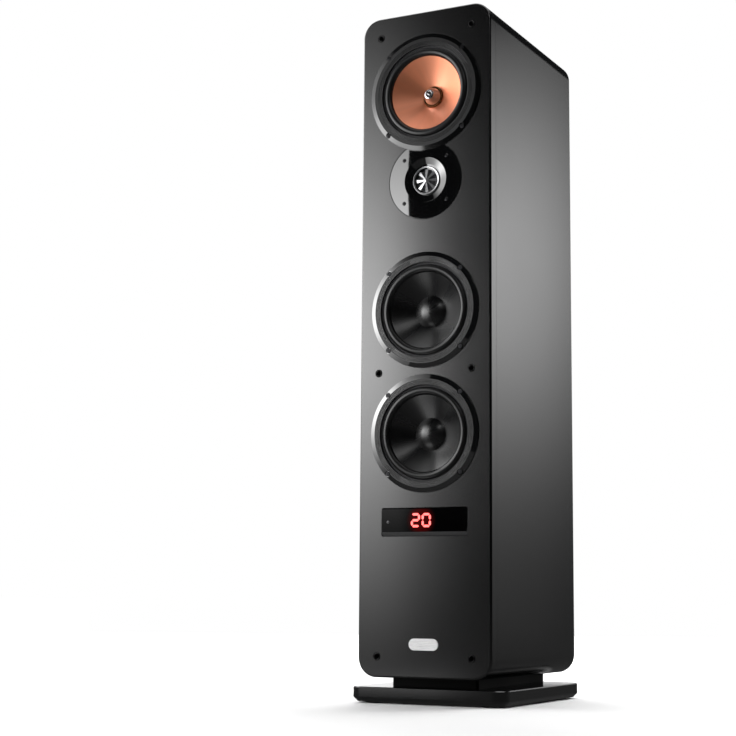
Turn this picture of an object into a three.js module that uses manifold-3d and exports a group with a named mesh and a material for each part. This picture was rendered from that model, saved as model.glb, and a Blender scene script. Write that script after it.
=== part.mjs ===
// A floorstanding active loudspeaker: a tall cabinet on a low plinth and a wider base plate.
// Millimetres, +Z up, the front faces -Y, and the origin lies under the middle of the object.
import * as THREE from "three";
import { mergeVertices } from "three/addons/utils/BufferGeometryUtils.js";
import Module from "manifold-3d";

const wasm = await Module();
wasm.setup();

// ---- Driving dimensions -------------------------------------------------------------------------

const GAP = 0.3; // clearance kept between pieces that touch
const CABINET = { width: 215, height: 1006, depth: 335, corner: 29, wall: 15, bottom: 38 };
const BAFFLE = { thickness: 20, edge: 4 };
const REAR = { thickness: 16, recess: 1.5 };
const BASE = { width: 250, depth: 309, thickness: 22, corner: 20, chamfer: 6.5, setback: 5 };
const PLINTH = { inset: 38, corner: 4 };
const FOOT = { radius: 18, lift: 2, pocket: 3, inset: 32 };
const RING_PROUD = 3.5; // how far the drivers' trim rings stand in front of the baffle

const FACE = -(CABINET.depth + RING_PROUD) / 2; // y of the trim rings' front
const FRONT = FACE + RING_PROUD; // y of the baffle's front
const BACK = FRONT + CABINET.depth;
const MIDDLE = (FRONT + BACK) / 2;
const TOP = CABINET.bottom + CABINET.height;
const INNER = {
  width: CABINET.width - 2 * CABINET.wall,
  bottom: CABINET.bottom + CABINET.wall,
  top: TOP - CABINET.wall,
  front: FRONT + BAFFLE.thickness,
  back: BACK - REAR.recess - REAR.thickness,
  corner: CABINET.corner - CABINET.wall,
};

// Heights of the drivers' axes and of what else sits on the baffle.
const HEIGHT = {
  midrange: 916,
  tweeter: 779,
  wooferUpper: 580,
  wooferLower: 395,
  display: 264.5,
  badge: 87,
};

// One cone driver. Radii, and depths behind the baffle's front.
const DRIVER = {
  ringInner: 71.8,
  ringBevel: 7,
  flange: { radius: 81, thickness: 3.7 },
  wall: { inner: 68.5, outer: 72, depth: 20 },
  ledge: { inner: 37, outer: 44, depth: 35 },
  seat: { outer: 46, depth: 43, thickness: 2.4 },
  roll: { radius: 5.5, middle: 63.5, thickness: 1 },
  cone: { rim: 57.2, rimDepth: 3.2, neck: 16.7, neckDepth: 27, thickness: 1.2 },
  cap: { radius: 23.5, rise: 9, thickness: 1, steps: 3 },
  coil: { inner: 15.3, outer: 16, front: 25, back: 58 },
  spider: { folds: 4, fold: 1.6, thickness: 0.8 },
  plate: { inner: 16.6, outer: 41, thickness: 6 },
  magnet: { inner: 25, outer: 45, thickness: 17 },
  pole: 14.8,
  yoke: { radius: 42, thickness: 6 },
};
const WINDOWS = { count: 4, size: 34, clear: 2 }; // cut through the waist of each basket
const WOOFER_RING = 88;
const MIDRANGE_RING = 91.5;
const PLUG = { radius: 14.3, tip: 7, tipDepth: 11, bore: 4.3, boreDepth: 12 };

const TWEETER = {
  plate: 60,
  thickness: 3,
  dish: 34,
  dishDepth: 6,
  backing: 2.5,
  throat: 17,
  dome: { radius: 12.5, crest: 5.6, root: 9.3, flange: 16, formerBack: 17, wall: 0.6 },
  magnet: { radius: 31, front: 11, slotBack: 20, back: 24, slot: 0.6 },
  cup: { hole: 37, back: 34, wall: 2.5 },
};
const DIFFUSER = {
  petals: 8,
  petalWidth: 2.2,
  hub: 5,
  rim: 1.3,
  rimBack: 4.9,
  front: 2.6,
  thickness: 1.6,
};

const DISPLAY = { width: 139, height: 42, thickness: 3, corner: 3 };
const DISPLAY_SLOT = { width: 118, height: 30 };
const DISPLAY_BOARD = { width: 112, height: 24, depth: 9, thickness: 1.6, corner: 1 };
const BADGE = { width: 47, height: 17, thickness: 1.1 };
const PORT = { bore: 30, wall: 2.6, collar: 39, length: 125, height: 640 };
const CHAMBER = { wall: 10, depth: 110, below: 90 };
const BRACE = { z: 712, thickness: 15, window: 90, rib: 30 };
const PAD = { width: 160, height: 170, depth: 30, corner: 8, z: 480 };

const AMP = { width: 170, height: 250, z: 225, flange: 10, sheet: 3, dish: 14, corner: 6 };
const INLET = { x: 48, z: 140, width: 30, height: 22, depth: 18, proud: 2, wall: 3, socketDepth: 13 };
const PIN = { width: 2, height: 4, length: 5, pitch: 7, drop: 1.5 };
const ROCKER = { x: 48, z: 185, width: 13, height: 20, thickness: 7, hollow: 1.5, tilt: -8 };
const JACKS = { z: 305, width: 116, height: 26, sheet: 2, count: 4, radius: 4.6, length: 8, bore: 2.4 };
const POST = { x: -48, z: 150, spacing: 22, radius: 7, length: 10, lift: 1.5, stud: 2.5, studLength: 6 };
const AMP_BOARD = { width: 136, height: 200, thickness: 1.6, corner: 2, behind: 26 };
const HEAT_SINK = { left: -64, bottom: 185, height: 110, fins: 7, pitch: 7, fin: 2, base: 3, reach: 19 };
const TRANSFORMER = { y: 45, bore: 14, radius: 45, length: 40 };

const ROUND = 24; // sides of a round piece that shows
const HIDDEN_ROUND = 16; // sides of a round piece inside the cabinet
const SMALL_ROUND = 12; // sides of a small round piece

// ---- Materials ----------------------------------------------------------------------------------

const finish = (color, roughness, metalness = 0) => ({ color, roughness, metalness });
const FINISH = {
  cabinet: finish(0x1c1c1d, 0.45),
  gloss: finish(0x070708, 0.12),
  satin: finish(0x161617, 0.5),
  rubber: finish(0x101011, 0.75),
  cone: finish(0x131315, 0.4),
  copper: finish(0xc87450, 0.3, 0.9),
  silver: finish(0xc9c9cc, 0.25, 1),
  steel: finish(0x8d9094, 0.4, 1),
  ferrite: finish(0x2a2a2c, 0.8),
  board: finish(0x21603a, 0.6),
  cloth: finish(0xb79b62, 0.9),
  wool: finish(0xd8d8d4, 1),
  wood: finish(0x8a6f4e, 0.8),
  red: finish(0xb01818, 0.35),
};

const speaker = new THREE.Group();

function addPiece(name, geometry, look, parent = speaker) {
  const mesh = new THREE.Mesh(geometry, new THREE.MeshStandardMaterial(look));
  mesh.name = name;
  parent.add(mesh);
  return mesh;
}

// ---- Solids -------------------------------------------------------------------------------------

// A closed geometry as a solid that can be joined and cut.
function solidOf(geometry) {
  const bare = geometry.clone();
  bare.deleteAttribute("normal");
  bare.deleteAttribute("uv");
  const merged = mergeVertices(bare, 1e-3);
  return new wasm.Manifold(
    new wasm.Mesh({
      numProp: 3,
      vertProperties: merged.attributes.position.array,
      triVerts: new Uint32Array(merged.index.array),
    }),
  );
}

function geometryOf(solid) {
  const mesh = solid.getMesh();
  return new THREE.BufferGeometry()
    .setAttribute("position", new THREE.BufferAttribute(mesh.vertProperties, 3))
    .setIndex(new THREE.BufferAttribute(mesh.triVerts, 1));
}

const cut = (body, ...tools) => tools.reduce((left, tool) => left.subtract(tool), body);
const join = (first, ...others) => others.reduce((left, other) => left.add(other), first);

// A profile of [radius, y] points turned about the Y axis. It starts and ends on the axis, or it is
// closed into a ring.
function turned(profile, sides = ROUND) {
  const loop = profile[0][0] === 0 ? profile : [...profile, profile[0]];
  const points = loop.map(([radius, y]) => new THREE.Vector2(radius, y));
  if (THREE.ShapeUtils.area(points) < 0) points.reverse();
  return new THREE.LatheGeometry(points, sides);
}

// A rectangle with round corners, centred on x and y.
function roundedRectangle(width, height, corner, x = 0, y = 0) {
  const [w, h] = [width / 2 - corner, height / 2 - corner];
  const shape = new THREE.Shape();
  shape.absarc(x + w, y + h, corner, 0, Math.PI / 2);
  shape.absarc(x - w, y + h, corner, Math.PI / 2, Math.PI);
  shape.absarc(x - w, y - h, corner, Math.PI, 1.5 * Math.PI);
  shape.absarc(x + w, y - h, corner, 1.5 * Math.PI, 2 * Math.PI);
  return shape.closePath();
}

const CORNER_STEPS = 5;

// A shape in the XY plane raised from bottom to top.
function raised(shape, bottom, top) {
  const options = { depth: top - bottom, bevelEnabled: false, curveSegments: CORNER_STEPS };
  return new THREE.ExtrudeGeometry(shape, options).translate(0, 0, bottom);
}

// A shape in the XZ plane carried from the y of its front to the y of its back.
function upright(shape, front, back) {
  return raised(shape, 0, back - front).rotateX(Math.PI / 2).translate(0, back, 0);
}

// As raised, with a chamfer round the bottom edge.
function raisedWithChamfer(shape, bottom, top, chamfer) {
  const options = {
    depth: top - bottom - chamfer,
    bevelThickness: chamfer,
    bevelSize: chamfer,
    bevelOffset: -chamfer,
    bevelSegments: 1,
    curveSegments: CORNER_STEPS,
  };
  const doubleEnded = new THREE.ExtrudeGeometry(shape, options).translate(0, 0, bottom + chamfer);
  const beyond = [-CABINET.height, CABINET.height];
  const above = block(beyond, beyond, [top, top + 2 * chamfer]);
  return geometryOf(cut(solidOf(doubleEnded), above));
}

// A solid box between two x, two y and two z.
function block([x0, x1], [y0, y1], [z0, z1]) {
  const box = new THREE.BoxGeometry(x1 - x0, y1 - y0, z1 - z0);
  return solidOf(box.translate((x0 + x1) / 2, (y0 + y1) / 2, (z0 + z1) / 2));
}

// A solid cylinder along Y between two y, at x and z.
function rod(radius, y0, y1, x = 0, z = 0, sides = ROUND) {
  const cylinder = new THREE.CylinderGeometry(radius, radius, y1 - y0, sides);
  return solidOf(cylinder.translate(x, (y0 + y1) / 2, z));
}

const around = (middle, size) => [middle - size / 2, middle + size / 2];

// The radius of a hole whose flat sides clear a round piece.
const clearing = (radius) => radius / Math.cos(Math.PI / ROUND) + GAP;

// ---- Cabinet ------------------------------------------------------------------------------------

const CABINET_Z = CABINET.bottom + CABINET.height / 2;
const bore = (radius, depth, z) => rod(clearing(radius), FRONT - BAFFLE.edge, FRONT + depth, 0, z);

function cabinetShell() {
  const outline = roundedRectangle(CABINET.width, CABINET.height, CABINET.corner, 0, CABINET_Z);
  const innerHeight = INNER.top - INNER.bottom;
  outline.holes.push(roundedRectangle(INNER.width, innerHeight, INNER.corner, 0, CABINET_Z));
  return upright(outline, INNER.front + GAP, BACK);
}

// The board that carries the drivers: a step for each basket's flange and a hole for its frame.
function frontBaffle() {
  const board = raisedWithChamfer(
    roundedRectangle(CABINET.width, CABINET.height, CABINET.corner),
    0,
    BAFFLE.thickness,
    BAFFLE.edge,
  );
  board.rotateX(-Math.PI / 2).translate(0, FRONT, CABINET_Z);
  const through = BAFFLE.thickness + BAFFLE.edge;
  const driverCuts = [HEIGHT.midrange, HEIGHT.wooferUpper, HEIGHT.wooferLower].flatMap((z) => [
    bore(DRIVER.flange.radius, DRIVER.flange.thickness + 2 * GAP, z),
    bore(DRIVER.wall.outer, through, z),
  ]);
  const tweeterCuts = [
    bore(TWEETER.plate, TWEETER.thickness + GAP, HEIGHT.tweeter),
    bore(TWEETER.cup.hole, through, HEIGHT.tweeter),
  ];
  const windowCuts = [
    block(
      around(0, DISPLAY.width + 2 * GAP),
      [FRONT - BAFFLE.edge, FRONT + DISPLAY.thickness + GAP],
      around(HEIGHT.display, DISPLAY.height + 2 * GAP),
    ),
    block(
      around(0, DISPLAY_SLOT.width),
      [FRONT - BAFFLE.edge, FRONT + through],
      around(HEIGHT.display, DISPLAY_SLOT.height),
    ),
  ];
  return geometryOf(cut(solidOf(board), ...driverCuts, ...tweeterCuts, ...windowCuts));
}

function rearPanel() {
  const outer = INNER.back + REAR.thickness;
  const [width, height] = [INNER.width - 2 * GAP, INNER.top - INNER.bottom - 2 * GAP];
  const outline = roundedRectangle(width, height, INNER.corner, 0, CABINET_Z);
  const past = REAR.thickness;
  const flangeSeat = AMP.sheet + GAP;
  const ampWidth = AMP.width - 2 * AMP.flange + 2 * GAP;
  const ampHeight = AMP.height - 2 * AMP.flange + 2 * GAP;
  return geometryOf(
    cut(
      solidOf(upright(outline, INNER.back, outer)),
      block(around(0, ampWidth), [INNER.back - past, outer + past], around(AMP.z, ampHeight)),
      block(
        around(0, AMP.width + 2 * GAP),
        [outer - flangeSeat, outer + past],
        around(AMP.z, AMP.height + 2 * GAP),
      ),
      rod(clearing(PORT.bore + PORT.wall), INNER.back - past, outer + past, 0, PORT.height),
      rod(clearing(PORT.collar), outer - flangeSeat, outer + past, 0, PORT.height),
    ),
  );
}

// The sealed box behind the midrange driver, open where the baffle closes it.
function midrangeChamber() {
  const { wall, depth, below } = CHAMBER;
  const front = INNER.front + GAP;
  const top = INNER.top - GAP;
  const bottom = HEIGHT.midrange - below;
  const width = INNER.width - 2 * GAP;
  const outside = roundedRectangle(width, top - bottom, INNER.corner, 0, (top + bottom) / 2);
  const hollow = block(
    around(0, width - 2 * wall),
    [front - wall, front + depth - wall],
    [bottom + wall, top - wall],
  );
  return geometryOf(cut(solidOf(upright(outside, front, front + depth)), hollow));
}

// A shelf across the cabinet with two windows for the air.
function windowBrace() {
  const { z, thickness, window: opening, rib } = BRACE;
  const front = INNER.front + GAP;
  const back = INNER.back - GAP;
  const middle = (front + back) / 2;
  const shelf = block(around(0, INNER.width - 2 * GAP), [front, back], around(z, thickness));
  const windows = [-1, 1].map((side) => {
    const y = middle + (side * (opening + rib)) / 2;
    return block(around(0, opening), around(y, opening), around(z, 2 * thickness));
  });
  return geometryOf(cut(shelf, ...windows));
}

function portTube() {
  const outer = INNER.back + REAR.thickness;
  const { bore: inside, wall, collar, length } = PORT;
  const flare = collar - inside;
  const mouth = [
    [inside, outer - 1.6 * flare],
    [inside + 0.3 * flare, outer - 0.5 * flare],
    [inside + 0.8 * flare, outer],
  ];
  const profile = [
    [collar, outer],
    [collar, outer - AMP.sheet],
    [inside + wall, outer - AMP.sheet],
    [inside + wall, outer - length],
    [inside, outer - length],
    ...mouth,
  ];
  return turned(profile).translate(0, 0, PORT.height);
}

function dampingPad() {
  const back = INNER.back - GAP;
  return upright(roundedRectangle(PAD.width, PAD.height, PAD.corner, 0, PAD.z), back - PAD.depth, back);
}

function addCabinet() {
  addPiece("cabinet_shell", cabinetShell(), FINISH.cabinet);
  addPiece("front_baffle", frontBaffle(), FINISH.cabinet);
  addPiece("rear_panel", rearPanel(), FINISH.cabinet);
  addPiece("midrange_chamber", midrangeChamber(), FINISH.wood);
  addPiece("window_brace", windowBrace(), FINISH.wood);
  addPiece("port_tube", portTube(), FINISH.satin);
  addPiece("damping_pad", dampingPad(), FINISH.wool);
}

// ---- Plinth, base plate and feet ----------------------------------------------------------------

const BASE_BOTTOM = FOOT.lift;
const BASE_TOP = BASE_BOTTOM + BASE.thickness;
const BASE_Y = FRONT + BASE.setback + BASE.depth / 2;

function basePlate(feet) {
  const outline = roundedRectangle(BASE.width, BASE.depth, BASE.corner, 0, BASE_Y);
  const plate = raisedWithChamfer(outline, BASE_BOTTOM, BASE_TOP, BASE.chamfer);
  const pocketTop = BASE_BOTTOM + FOOT.pocket;
  const pockets = feet.map(({ x, y }) =>
    solidOf(footDisc(clearing(FOOT.radius), -FOOT.lift, pocketTop, x, y)),
  );
  return geometryOf(cut(solidOf(plate), ...pockets));
}

function footDisc(radius, bottom, top, x, y) {
  const disc = new THREE.CylinderGeometry(radius, radius, top - bottom, HIDDEN_ROUND);
  return disc.rotateX(Math.PI / 2).translate(x, y, (top + bottom) / 2);
}

function addBase() {
  const footX = BASE.width / 2 - FOOT.inset;
  const footY = BASE.depth / 2 - FOOT.inset;
  const feet = [
    { name: "foot_front_left", x: -footX, y: BASE_Y - footY },
    { name: "foot_front_right", x: footX, y: BASE_Y - footY },
    { name: "foot_rear_left", x: -footX, y: BASE_Y + footY },
    { name: "foot_rear_right", x: footX, y: BASE_Y + footY },
  ];
  addPiece("base_plate", basePlate(feet), FINISH.cabinet);
  const plinth = roundedRectangle(
    CABINET.width - 2 * PLINTH.inset,
    CABINET.depth - 2 * PLINTH.inset,
    PLINTH.corner,
    0,
    MIDDLE,
  );
  addPiece("plinth_block", raised(plinth, BASE_TOP + GAP, CABINET.bottom - GAP), FINISH.cabinet);
  feet.forEach(({ name, x, y }) =>
    addPiece(name, footDisc(FOOT.radius, 0, BASE_BOTTOM + FOOT.pocket - GAP, x, y), FINISH.rubber),
  );
}

// ---- Cone drivers: every depth below is behind the baffle's front -------------------------------

const FLANGE_FRONT = GAP;
const SEAT_BACK = DRIVER.seat.depth + DRIVER.seat.thickness;
const PLATE_FRONT = SEAT_BACK + GAP;
const MAGNET_FRONT = PLATE_FRONT + DRIVER.plate.thickness + GAP;
const YOKE_FRONT = MAGNET_FRONT + DRIVER.magnet.thickness + GAP;

function trimRing(radius) {
  const lip = 1;
  return turned([
    [radius, -GAP],
    [radius, -GAP - lip],
    [radius - DRIVER.ringBevel, -RING_PROUD],
    [DRIVER.ringInner + lip, -RING_PROUD],
    [DRIVER.ringInner, -RING_PROUD + lip],
    [DRIVER.ringInner, -GAP],
  ]);
}

// The cast frame: a flange, a waist cut by windows, the spider's ledge and the motor's seat.
function basket() {
  const { flange, wall, ledge, seat, coil, cone } = DRIVER;
  const frame = turned(
    [
      [wall.inner, FLANGE_FRONT],
      [wall.inner, wall.depth],
      [ledge.outer, ledge.depth],
      [ledge.inner, ledge.depth],
      [ledge.inner, seat.depth],
      [coil.outer + cone.thickness, seat.depth],
      [coil.outer + cone.thickness, SEAT_BACK],
      [seat.outer, SEAT_BACK],
      [seat.outer, ledge.depth + cone.thickness],
      [wall.outer, wall.depth],
      [wall.outer, FLANGE_FRONT + flange.thickness],
      [flange.radius, FLANGE_FRONT + flange.thickness],
      [flange.radius, FLANGE_FRONT],
    ],
    HIDDEN_ROUND,
  );
  const windows = Array.from({ length: WINDOWS.count }, (_, i) => {
    const { size, clear } = WINDOWS;
    const opening = new THREE.BoxGeometry(size, ledge.depth - wall.depth - clear, size);
    const depth = (ledge.depth + wall.depth + clear) / 2;
    opening.translate(0, depth, (ledge.outer + wall.outer + clear + size) / 2);
    return solidOf(opening.rotateY(((i + 0.5) * 2 * Math.PI) / WINDOWS.count));
  });
  return geometryOf(cut(solidOf(frame), ...windows));
}

// A half roll of rubber between two flat feet.
function surround() {
  const { roll, cone, ringInner } = DRIVER;
  const steps = 3;
  const arc = (shrink) =>
    Array.from({ length: steps + 1 }, (_, i) => {
      const turn = (i * Math.PI) / steps;
      const reach = roll.radius - shrink;
      const rise = RING_PROUD - shrink;
      return [roll.middle - reach * Math.cos(turn), -rise * Math.sin(turn)];
    });
  const footInner = cone.rim - 1;
  const footOuter = ringInner - GAP;
  return turned([
    [footInner, -roll.thickness],
    ...arc(0).slice(1, -1),
    [footOuter, -roll.thickness],
    [footOuter, 0],
    ...arc(roll.thickness).reverse(),
    [footInner, 0],
  ]);
}

function cone() {
  const { rim, rimDepth, neck, neckDepth, thickness } = DRIVER.cone;
  return turned([
    [rim, GAP],
    [rim, rimDepth],
    [neck, neckDepth + thickness],
    [neck, neckDepth],
    [rim - thickness, GAP],
  ]);
}

function dustCap() {
  const { cap, cone: shell } = DRIVER;
  const slope = (shell.neckDepth - shell.rimDepth) / (shell.rim - shell.neck);
  const edge = shell.rimDepth + slope * (shell.rim - cap.radius) - cap.thickness;
  const dome = (radius, depth) =>
    Array.from({ length: cap.steps + 1 }, (_, i) => {
      const turn = (i * Math.PI) / (2 * cap.steps);
      return [radius * Math.sin(turn), depth - cap.rise * Math.cos(turn)];
    });
  const inside = dome(cap.radius - cap.thickness, edge + cap.thickness);
  return turned([...dome(cap.radius, edge), ...inside.reverse()]);
}

const tube = (inner, outer, front, back, sides = HIDDEN_ROUND) =>
  turned(
    [
      [inner, front],
      [inner, back],
      [outer, back],
      [outer, front],
    ],
    sides,
  );

// The corrugated cloth disc that centres the voice coil.
function spider() {
  const { coil, ledge } = DRIVER;
  const { folds, fold, thickness } = DRIVER.spider;
  const [inner, outer] = [coil.outer + GAP, ledge.outer - 1];
  const foot = ledge.depth - GAP - thickness;
  const wave = Array.from({ length: folds + 1 }, (_, i) => [
    inner + ((outer - inner) * i) / folds,
    i % 2 ? foot - fold : foot,
  ]);
  const under = wave.map(([radius, depth]) => [radius, depth + thickness]).reverse();
  return turned([...wave, ...under], HIDDEN_ROUND);
}

function yoke() {
  const { pole, yoke: back } = DRIVER;
  return turned(
    [
      [0, PLATE_FRONT],
      [pole, PLATE_FRONT],
      [pole, YOKE_FRONT],
      [back.radius, YOKE_FRONT],
      [back.radius, YOKE_FRONT + back.thickness],
      [0, YOKE_FRONT + back.thickness],
    ],
    HIDDEN_ROUND,
  );
}

// The bullet that stands on the midrange's pole, with a blind bore in its tip.
function phasePlug() {
  const { radius, tip, tipDepth, bore: hole, boreDepth } = PLUG;
  return turned(
    [
      [0, PLATE_FRONT - GAP],
      [radius, PLATE_FRONT - GAP],
      [radius, DRIVER.cone.neckDepth],
      [0.9 * radius, (DRIVER.cone.neckDepth + tipDepth) / 2],
      [tip, tipDepth],
      [hole, tipDepth],
      [hole, tipDepth + boreDepth],
      [0, tipDepth + boreDepth],
    ],
    HIDDEN_ROUND,
  );
}

function addDriver(name, z, ringRadius, coneLook, middle) {
  const driver = new THREE.Group();
  driver.position.set(0, FRONT, z);
  speaker.add(driver);
  const { coil, plate, magnet } = DRIVER;
  const topPlate = tube(plate.inner, plate.outer, PLATE_FRONT, PLATE_FRONT + plate.thickness);
  const ferrite = tube(magnet.inner, magnet.outer, MAGNET_FRONT, MAGNET_FRONT + magnet.thickness);
  const add = (piece, geometry, look) => addPiece(`${name}_${piece}`, geometry, look, driver);
  add("trim_ring", trimRing(ringRadius), FINISH.gloss);
  add("basket", basket(), FINISH.satin);
  add("surround", surround(), FINISH.rubber);
  add("cone", cone(), coneLook);
  add("voice_coil", tube(coil.inner, coil.outer, coil.front, coil.back), FINISH.copper);
  add("spider", spider(), FINISH.cloth);
  add("top_plate", topPlate, FINISH.steel);
  add("magnet", ferrite, FINISH.ferrite);
  add("yoke", yoke(), FINISH.steel);
  add(middle.piece, middle.geometry, middle.look);
}

function addConeDrivers() {
  const cap = () => ({ piece: "dust_cap", geometry: dustCap(), look: FINISH.cone });
  const plug = { piece: "phase_plug", geometry: phasePlug(), look: FINISH.silver };
  addDriver("midrange", HEIGHT.midrange, MIDRANGE_RING, FINISH.copper, plug);
  addDriver("woofer_upper", HEIGHT.wooferUpper, WOOFER_RING, FINISH.cone, cap());
  addDriver("woofer_lower", HEIGHT.wooferLower, WOOFER_RING, FINISH.cone, cap());
}

// ---- Tweeter ------------------------------------------------------------------------------------

const DISH_BACK = TWEETER.dishDepth + TWEETER.backing;

// A round plate with a shallow dish, scalloped where the midrange's flange overlaps it.
function tweeterFaceplate() {
  const { plate, thickness, dish, throat, dishDepth, cup } = TWEETER;
  const disc = turned([
    [plate, 0],
    [plate, thickness],
    [cup.hole - 1, thickness],
    [cup.hole - 1, DISH_BACK],
    [throat, DISH_BACK],
    [throat, dishDepth],
    [dish, 0],
  ]);
  const above = HEIGHT.midrange - HEIGHT.tweeter;
  return geometryOf(cut(solidOf(disc), rod(clearing(DRIVER.flange.radius), -1, DISH_BACK, 0, above)));
}

// The guard over the dome: a hub, petals like spokes, and a rim that rests in the dish.
function tweeterDiffuser() {
  const { petals, petalWidth, hub, rim, front, thickness, rimBack } = DIFFUSER;
  const { dish, throat, dishDepth } = TWEETER;
  const rimRadius = dish - ((dish - throat) * rimBack) / dishDepth - GAP;
  const length = rimRadius - rim;
  const spokes = Array.from({ length: petals }, (_, i) => {
    const spoke = new THREE.BoxGeometry(petalWidth, thickness, length);
    spoke.translate(0, front + thickness / 2, length / 2);
    return solidOf(spoke.rotateY((i * 2 * Math.PI) / petals));
  });
  const boss = rod(hub, front, front + thickness, 0, 0, SMALL_ROUND);
  return geometryOf(join(boss, solidOf(tube(length, rimRadius, front, rimBack)), ...spokes));
}

// The dome, its flat surround and the former that carries its coil.
function tweeterDome() {
  const { radius, crest, root, flange, formerBack, wall } = TWEETER.dome;
  const shoulder = { share: 0.55, drop: 1 };
  return turned(
    [
      [0, crest],
      [shoulder.share * radius, crest + shoulder.drop],
      [radius - wall, root],
      [flange, root],
      [flange, root + wall],
      [radius, root + wall],
      [radius, formerBack],
      [radius - wall, formerBack],
      [radius - wall, root + wall],
      [shoulder.share * (radius - wall), crest + shoulder.drop + wall],
      [0, crest + wall],
    ],
    HIDDEN_ROUND,
  );
}

// The cup-shaped motor with the pole that stands inside the dome's former.
function tweeterMagnet() {
  const { radius, front, slotBack, back, slot } = TWEETER.magnet;
  const former = TWEETER.dome.radius;
  return turned(
    [
      [0, front + 1],
      [former - 2 * slot, front + 1],
      [former - 2 * slot, slotBack],
      [former + slot, slotBack],
      [former + slot, front],
      [radius, front],
      [radius, back],
      [0, back],
    ],
    HIDDEN_ROUND,
  );
}

function tweeterRearCup() {
  const { hole, back, wall } = TWEETER.cup;
  const outer = hole - 1;
  return turned(
    [
      [0, back],
      [outer, back],
      [outer, DISH_BACK + GAP],
      [outer - wall, DISH_BACK + GAP],
      [outer - wall, back - wall],
      [0, back - wall],
    ],
    HIDDEN_ROUND,
  );
}

function addTweeter() {
  const tweeter = new THREE.Group();
  tweeter.position.set(0, FRONT, HEIGHT.tweeter);
  speaker.add(tweeter);
  addPiece("tweeter_faceplate", tweeterFaceplate(), FINISH.gloss, tweeter);
  addPiece("tweeter_diffuser", tweeterDiffuser(), FINISH.silver, tweeter);
  addPiece("tweeter_dome", tweeterDome(), FINISH.cone, tweeter);
  addPiece("tweeter_magnet", tweeterMagnet(), FINISH.steel, tweeter);
  addPiece("tweeter_rear_cup", tweeterRearCup(), FINISH.satin, tweeter);
}

// ---- Display and badge --------------------------------------------------------------------------

function addDisplay() {
  const sheet = ({ width, height, corner, thickness }, front) =>
    upright(roundedRectangle(width, height, corner, 0, HEIGHT.display), front, front + thickness);
  addPiece("display_window", sheet(DISPLAY, FRONT), FINISH.gloss);
  addPiece("display_board", sheet(DISPLAY_BOARD, FRONT + DISPLAY_BOARD.depth), FINISH.board);
  const badge = roundedRectangle(BADGE.width, BADGE.height, BADGE.height / 2 - 0.1, 0, HEIGHT.badge);
  addPiece("badge_plate", upright(badge, FRONT - GAP - BADGE.thickness, FRONT - GAP), FINISH.silver);
}

// ---- Amplifier, in a dished panel low on the back -----------------------------------------------

const AMP_FACE = INNER.back + REAR.thickness;
const DISH_FLOOR = AMP_FACE - AMP.dish;
const AMP_BOARD_Y = DISH_FLOOR - AMP_BOARD.behind;
const POSTS = [
  { name: "speaker_post_red", x: POST.x + POST.spacing / 2, look: FINISH.red },
  { name: "speaker_post_black", x: POST.x - POST.spacing / 2, look: FINISH.satin },
];

function ampPanel() {
  const flange = roundedRectangle(AMP.width, AMP.height, AMP.corner, 0, AMP.z);
  const dishWidth = AMP.width - 2 * AMP.flange;
  const dishHeight = AMP.height - 2 * AMP.flange;
  const dish = block(
    around(0, dishWidth),
    [DISH_FLOOR - AMP.sheet, AMP_FACE - 1],
    around(AMP.z, dishHeight),
  );
  const hollow = block(
    around(0, dishWidth - 2 * AMP.sheet),
    [DISH_FLOOR, AMP_FACE + AMP.dish],
    around(AMP.z, dishHeight - 2 * AMP.sheet),
  );
  const floorCut = ({ x, z, width, height }, clearance) =>
    block(
      around(x, width + 2 * clearance),
      [DISH_FLOOR - 2 * AMP.sheet, DISH_FLOOR + AMP.sheet],
      around(z, height + 2 * clearance),
    );
  const studs = POSTS.map(({ x }) =>
    rod(POST.stud, DISH_FLOOR - 1, DISH_FLOOR + POST.studLength, x, POST.z, SMALL_ROUND),
  );
  const tray = cut(
    join(solidOf(upright(flange, AMP_FACE - AMP.sheet, AMP_FACE)), dish),
    hollow,
    floorCut(INLET, GAP),
    floorCut(ROCKER, 1.2),
  );
  return geometryOf(join(tray, ...studs));
}

function mainsInlet() {
  const { x, z, width, height, depth, proud, wall, socketDepth } = INLET;
  const mouth = DISH_FLOOR + proud;
  const floor = mouth - socketDepth;
  const body = block(around(x, width), [mouth - depth, mouth], around(z, height));
  const socket = block(
    around(x, width - 2 * wall),
    [floor, mouth + proud],
    around(z, height - 2 * wall),
  );
  const pins = [-1, 0, 1].map((side) =>
    block(
      around(x + side * PIN.pitch, PIN.width),
      [floor - 1, floor + PIN.length],
      around(side ? z - PIN.drop : z + PIN.drop, PIN.height),
    ),
  );
  return geometryOf(join(cut(body, socket), ...pins));
}

// A see-saw key, resting with its lower end pressed in.
function addPowerRocker() {
  const { x, z, width, height, thickness, hollow, tilt } = ROCKER;
  const side = new THREE.Shape();
  side.moveTo(-thickness / 2, -height / 2);
  side.lineTo(-thickness / 2, height / 2);
  side.lineTo(thickness / 2, height / 2);
  side.lineTo(thickness / 2 - hollow, 0);
  side.lineTo(thickness / 2, -height / 2);
  side.closePath();
  const key = raised(side, -width / 2, width / 2).rotateY(Math.PI / 2).rotateX(Math.PI / 2);
  const mesh = addPiece("power_rocker", key, FINISH.satin);
  mesh.position.set(x, DISH_FLOOR, z);
  mesh.rotation.x = THREE.MathUtils.degToRad(tilt);
}

function jackStrip() {
  const { z, width, height, sheet, count, radius, length, bore: hole } = JACKS;
  const front = DISH_FLOOR + GAP;
  const face = front + sheet;
  const plate = block(around(0, width), [front, face], around(z, height));
  const places = Array.from({ length: count }, (_, i) => ((i - (count - 1) / 2) * width) / count);
  const barrels = places.map((x) => rod(radius, front + 1, face + length, x, z, SMALL_ROUND));
  const holes = places.map((x) => rod(hole, face + 1, face + 2 * length, x, z, SMALL_ROUND));
  return geometryOf(cut(join(plate, ...barrels), ...holes));
}

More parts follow.
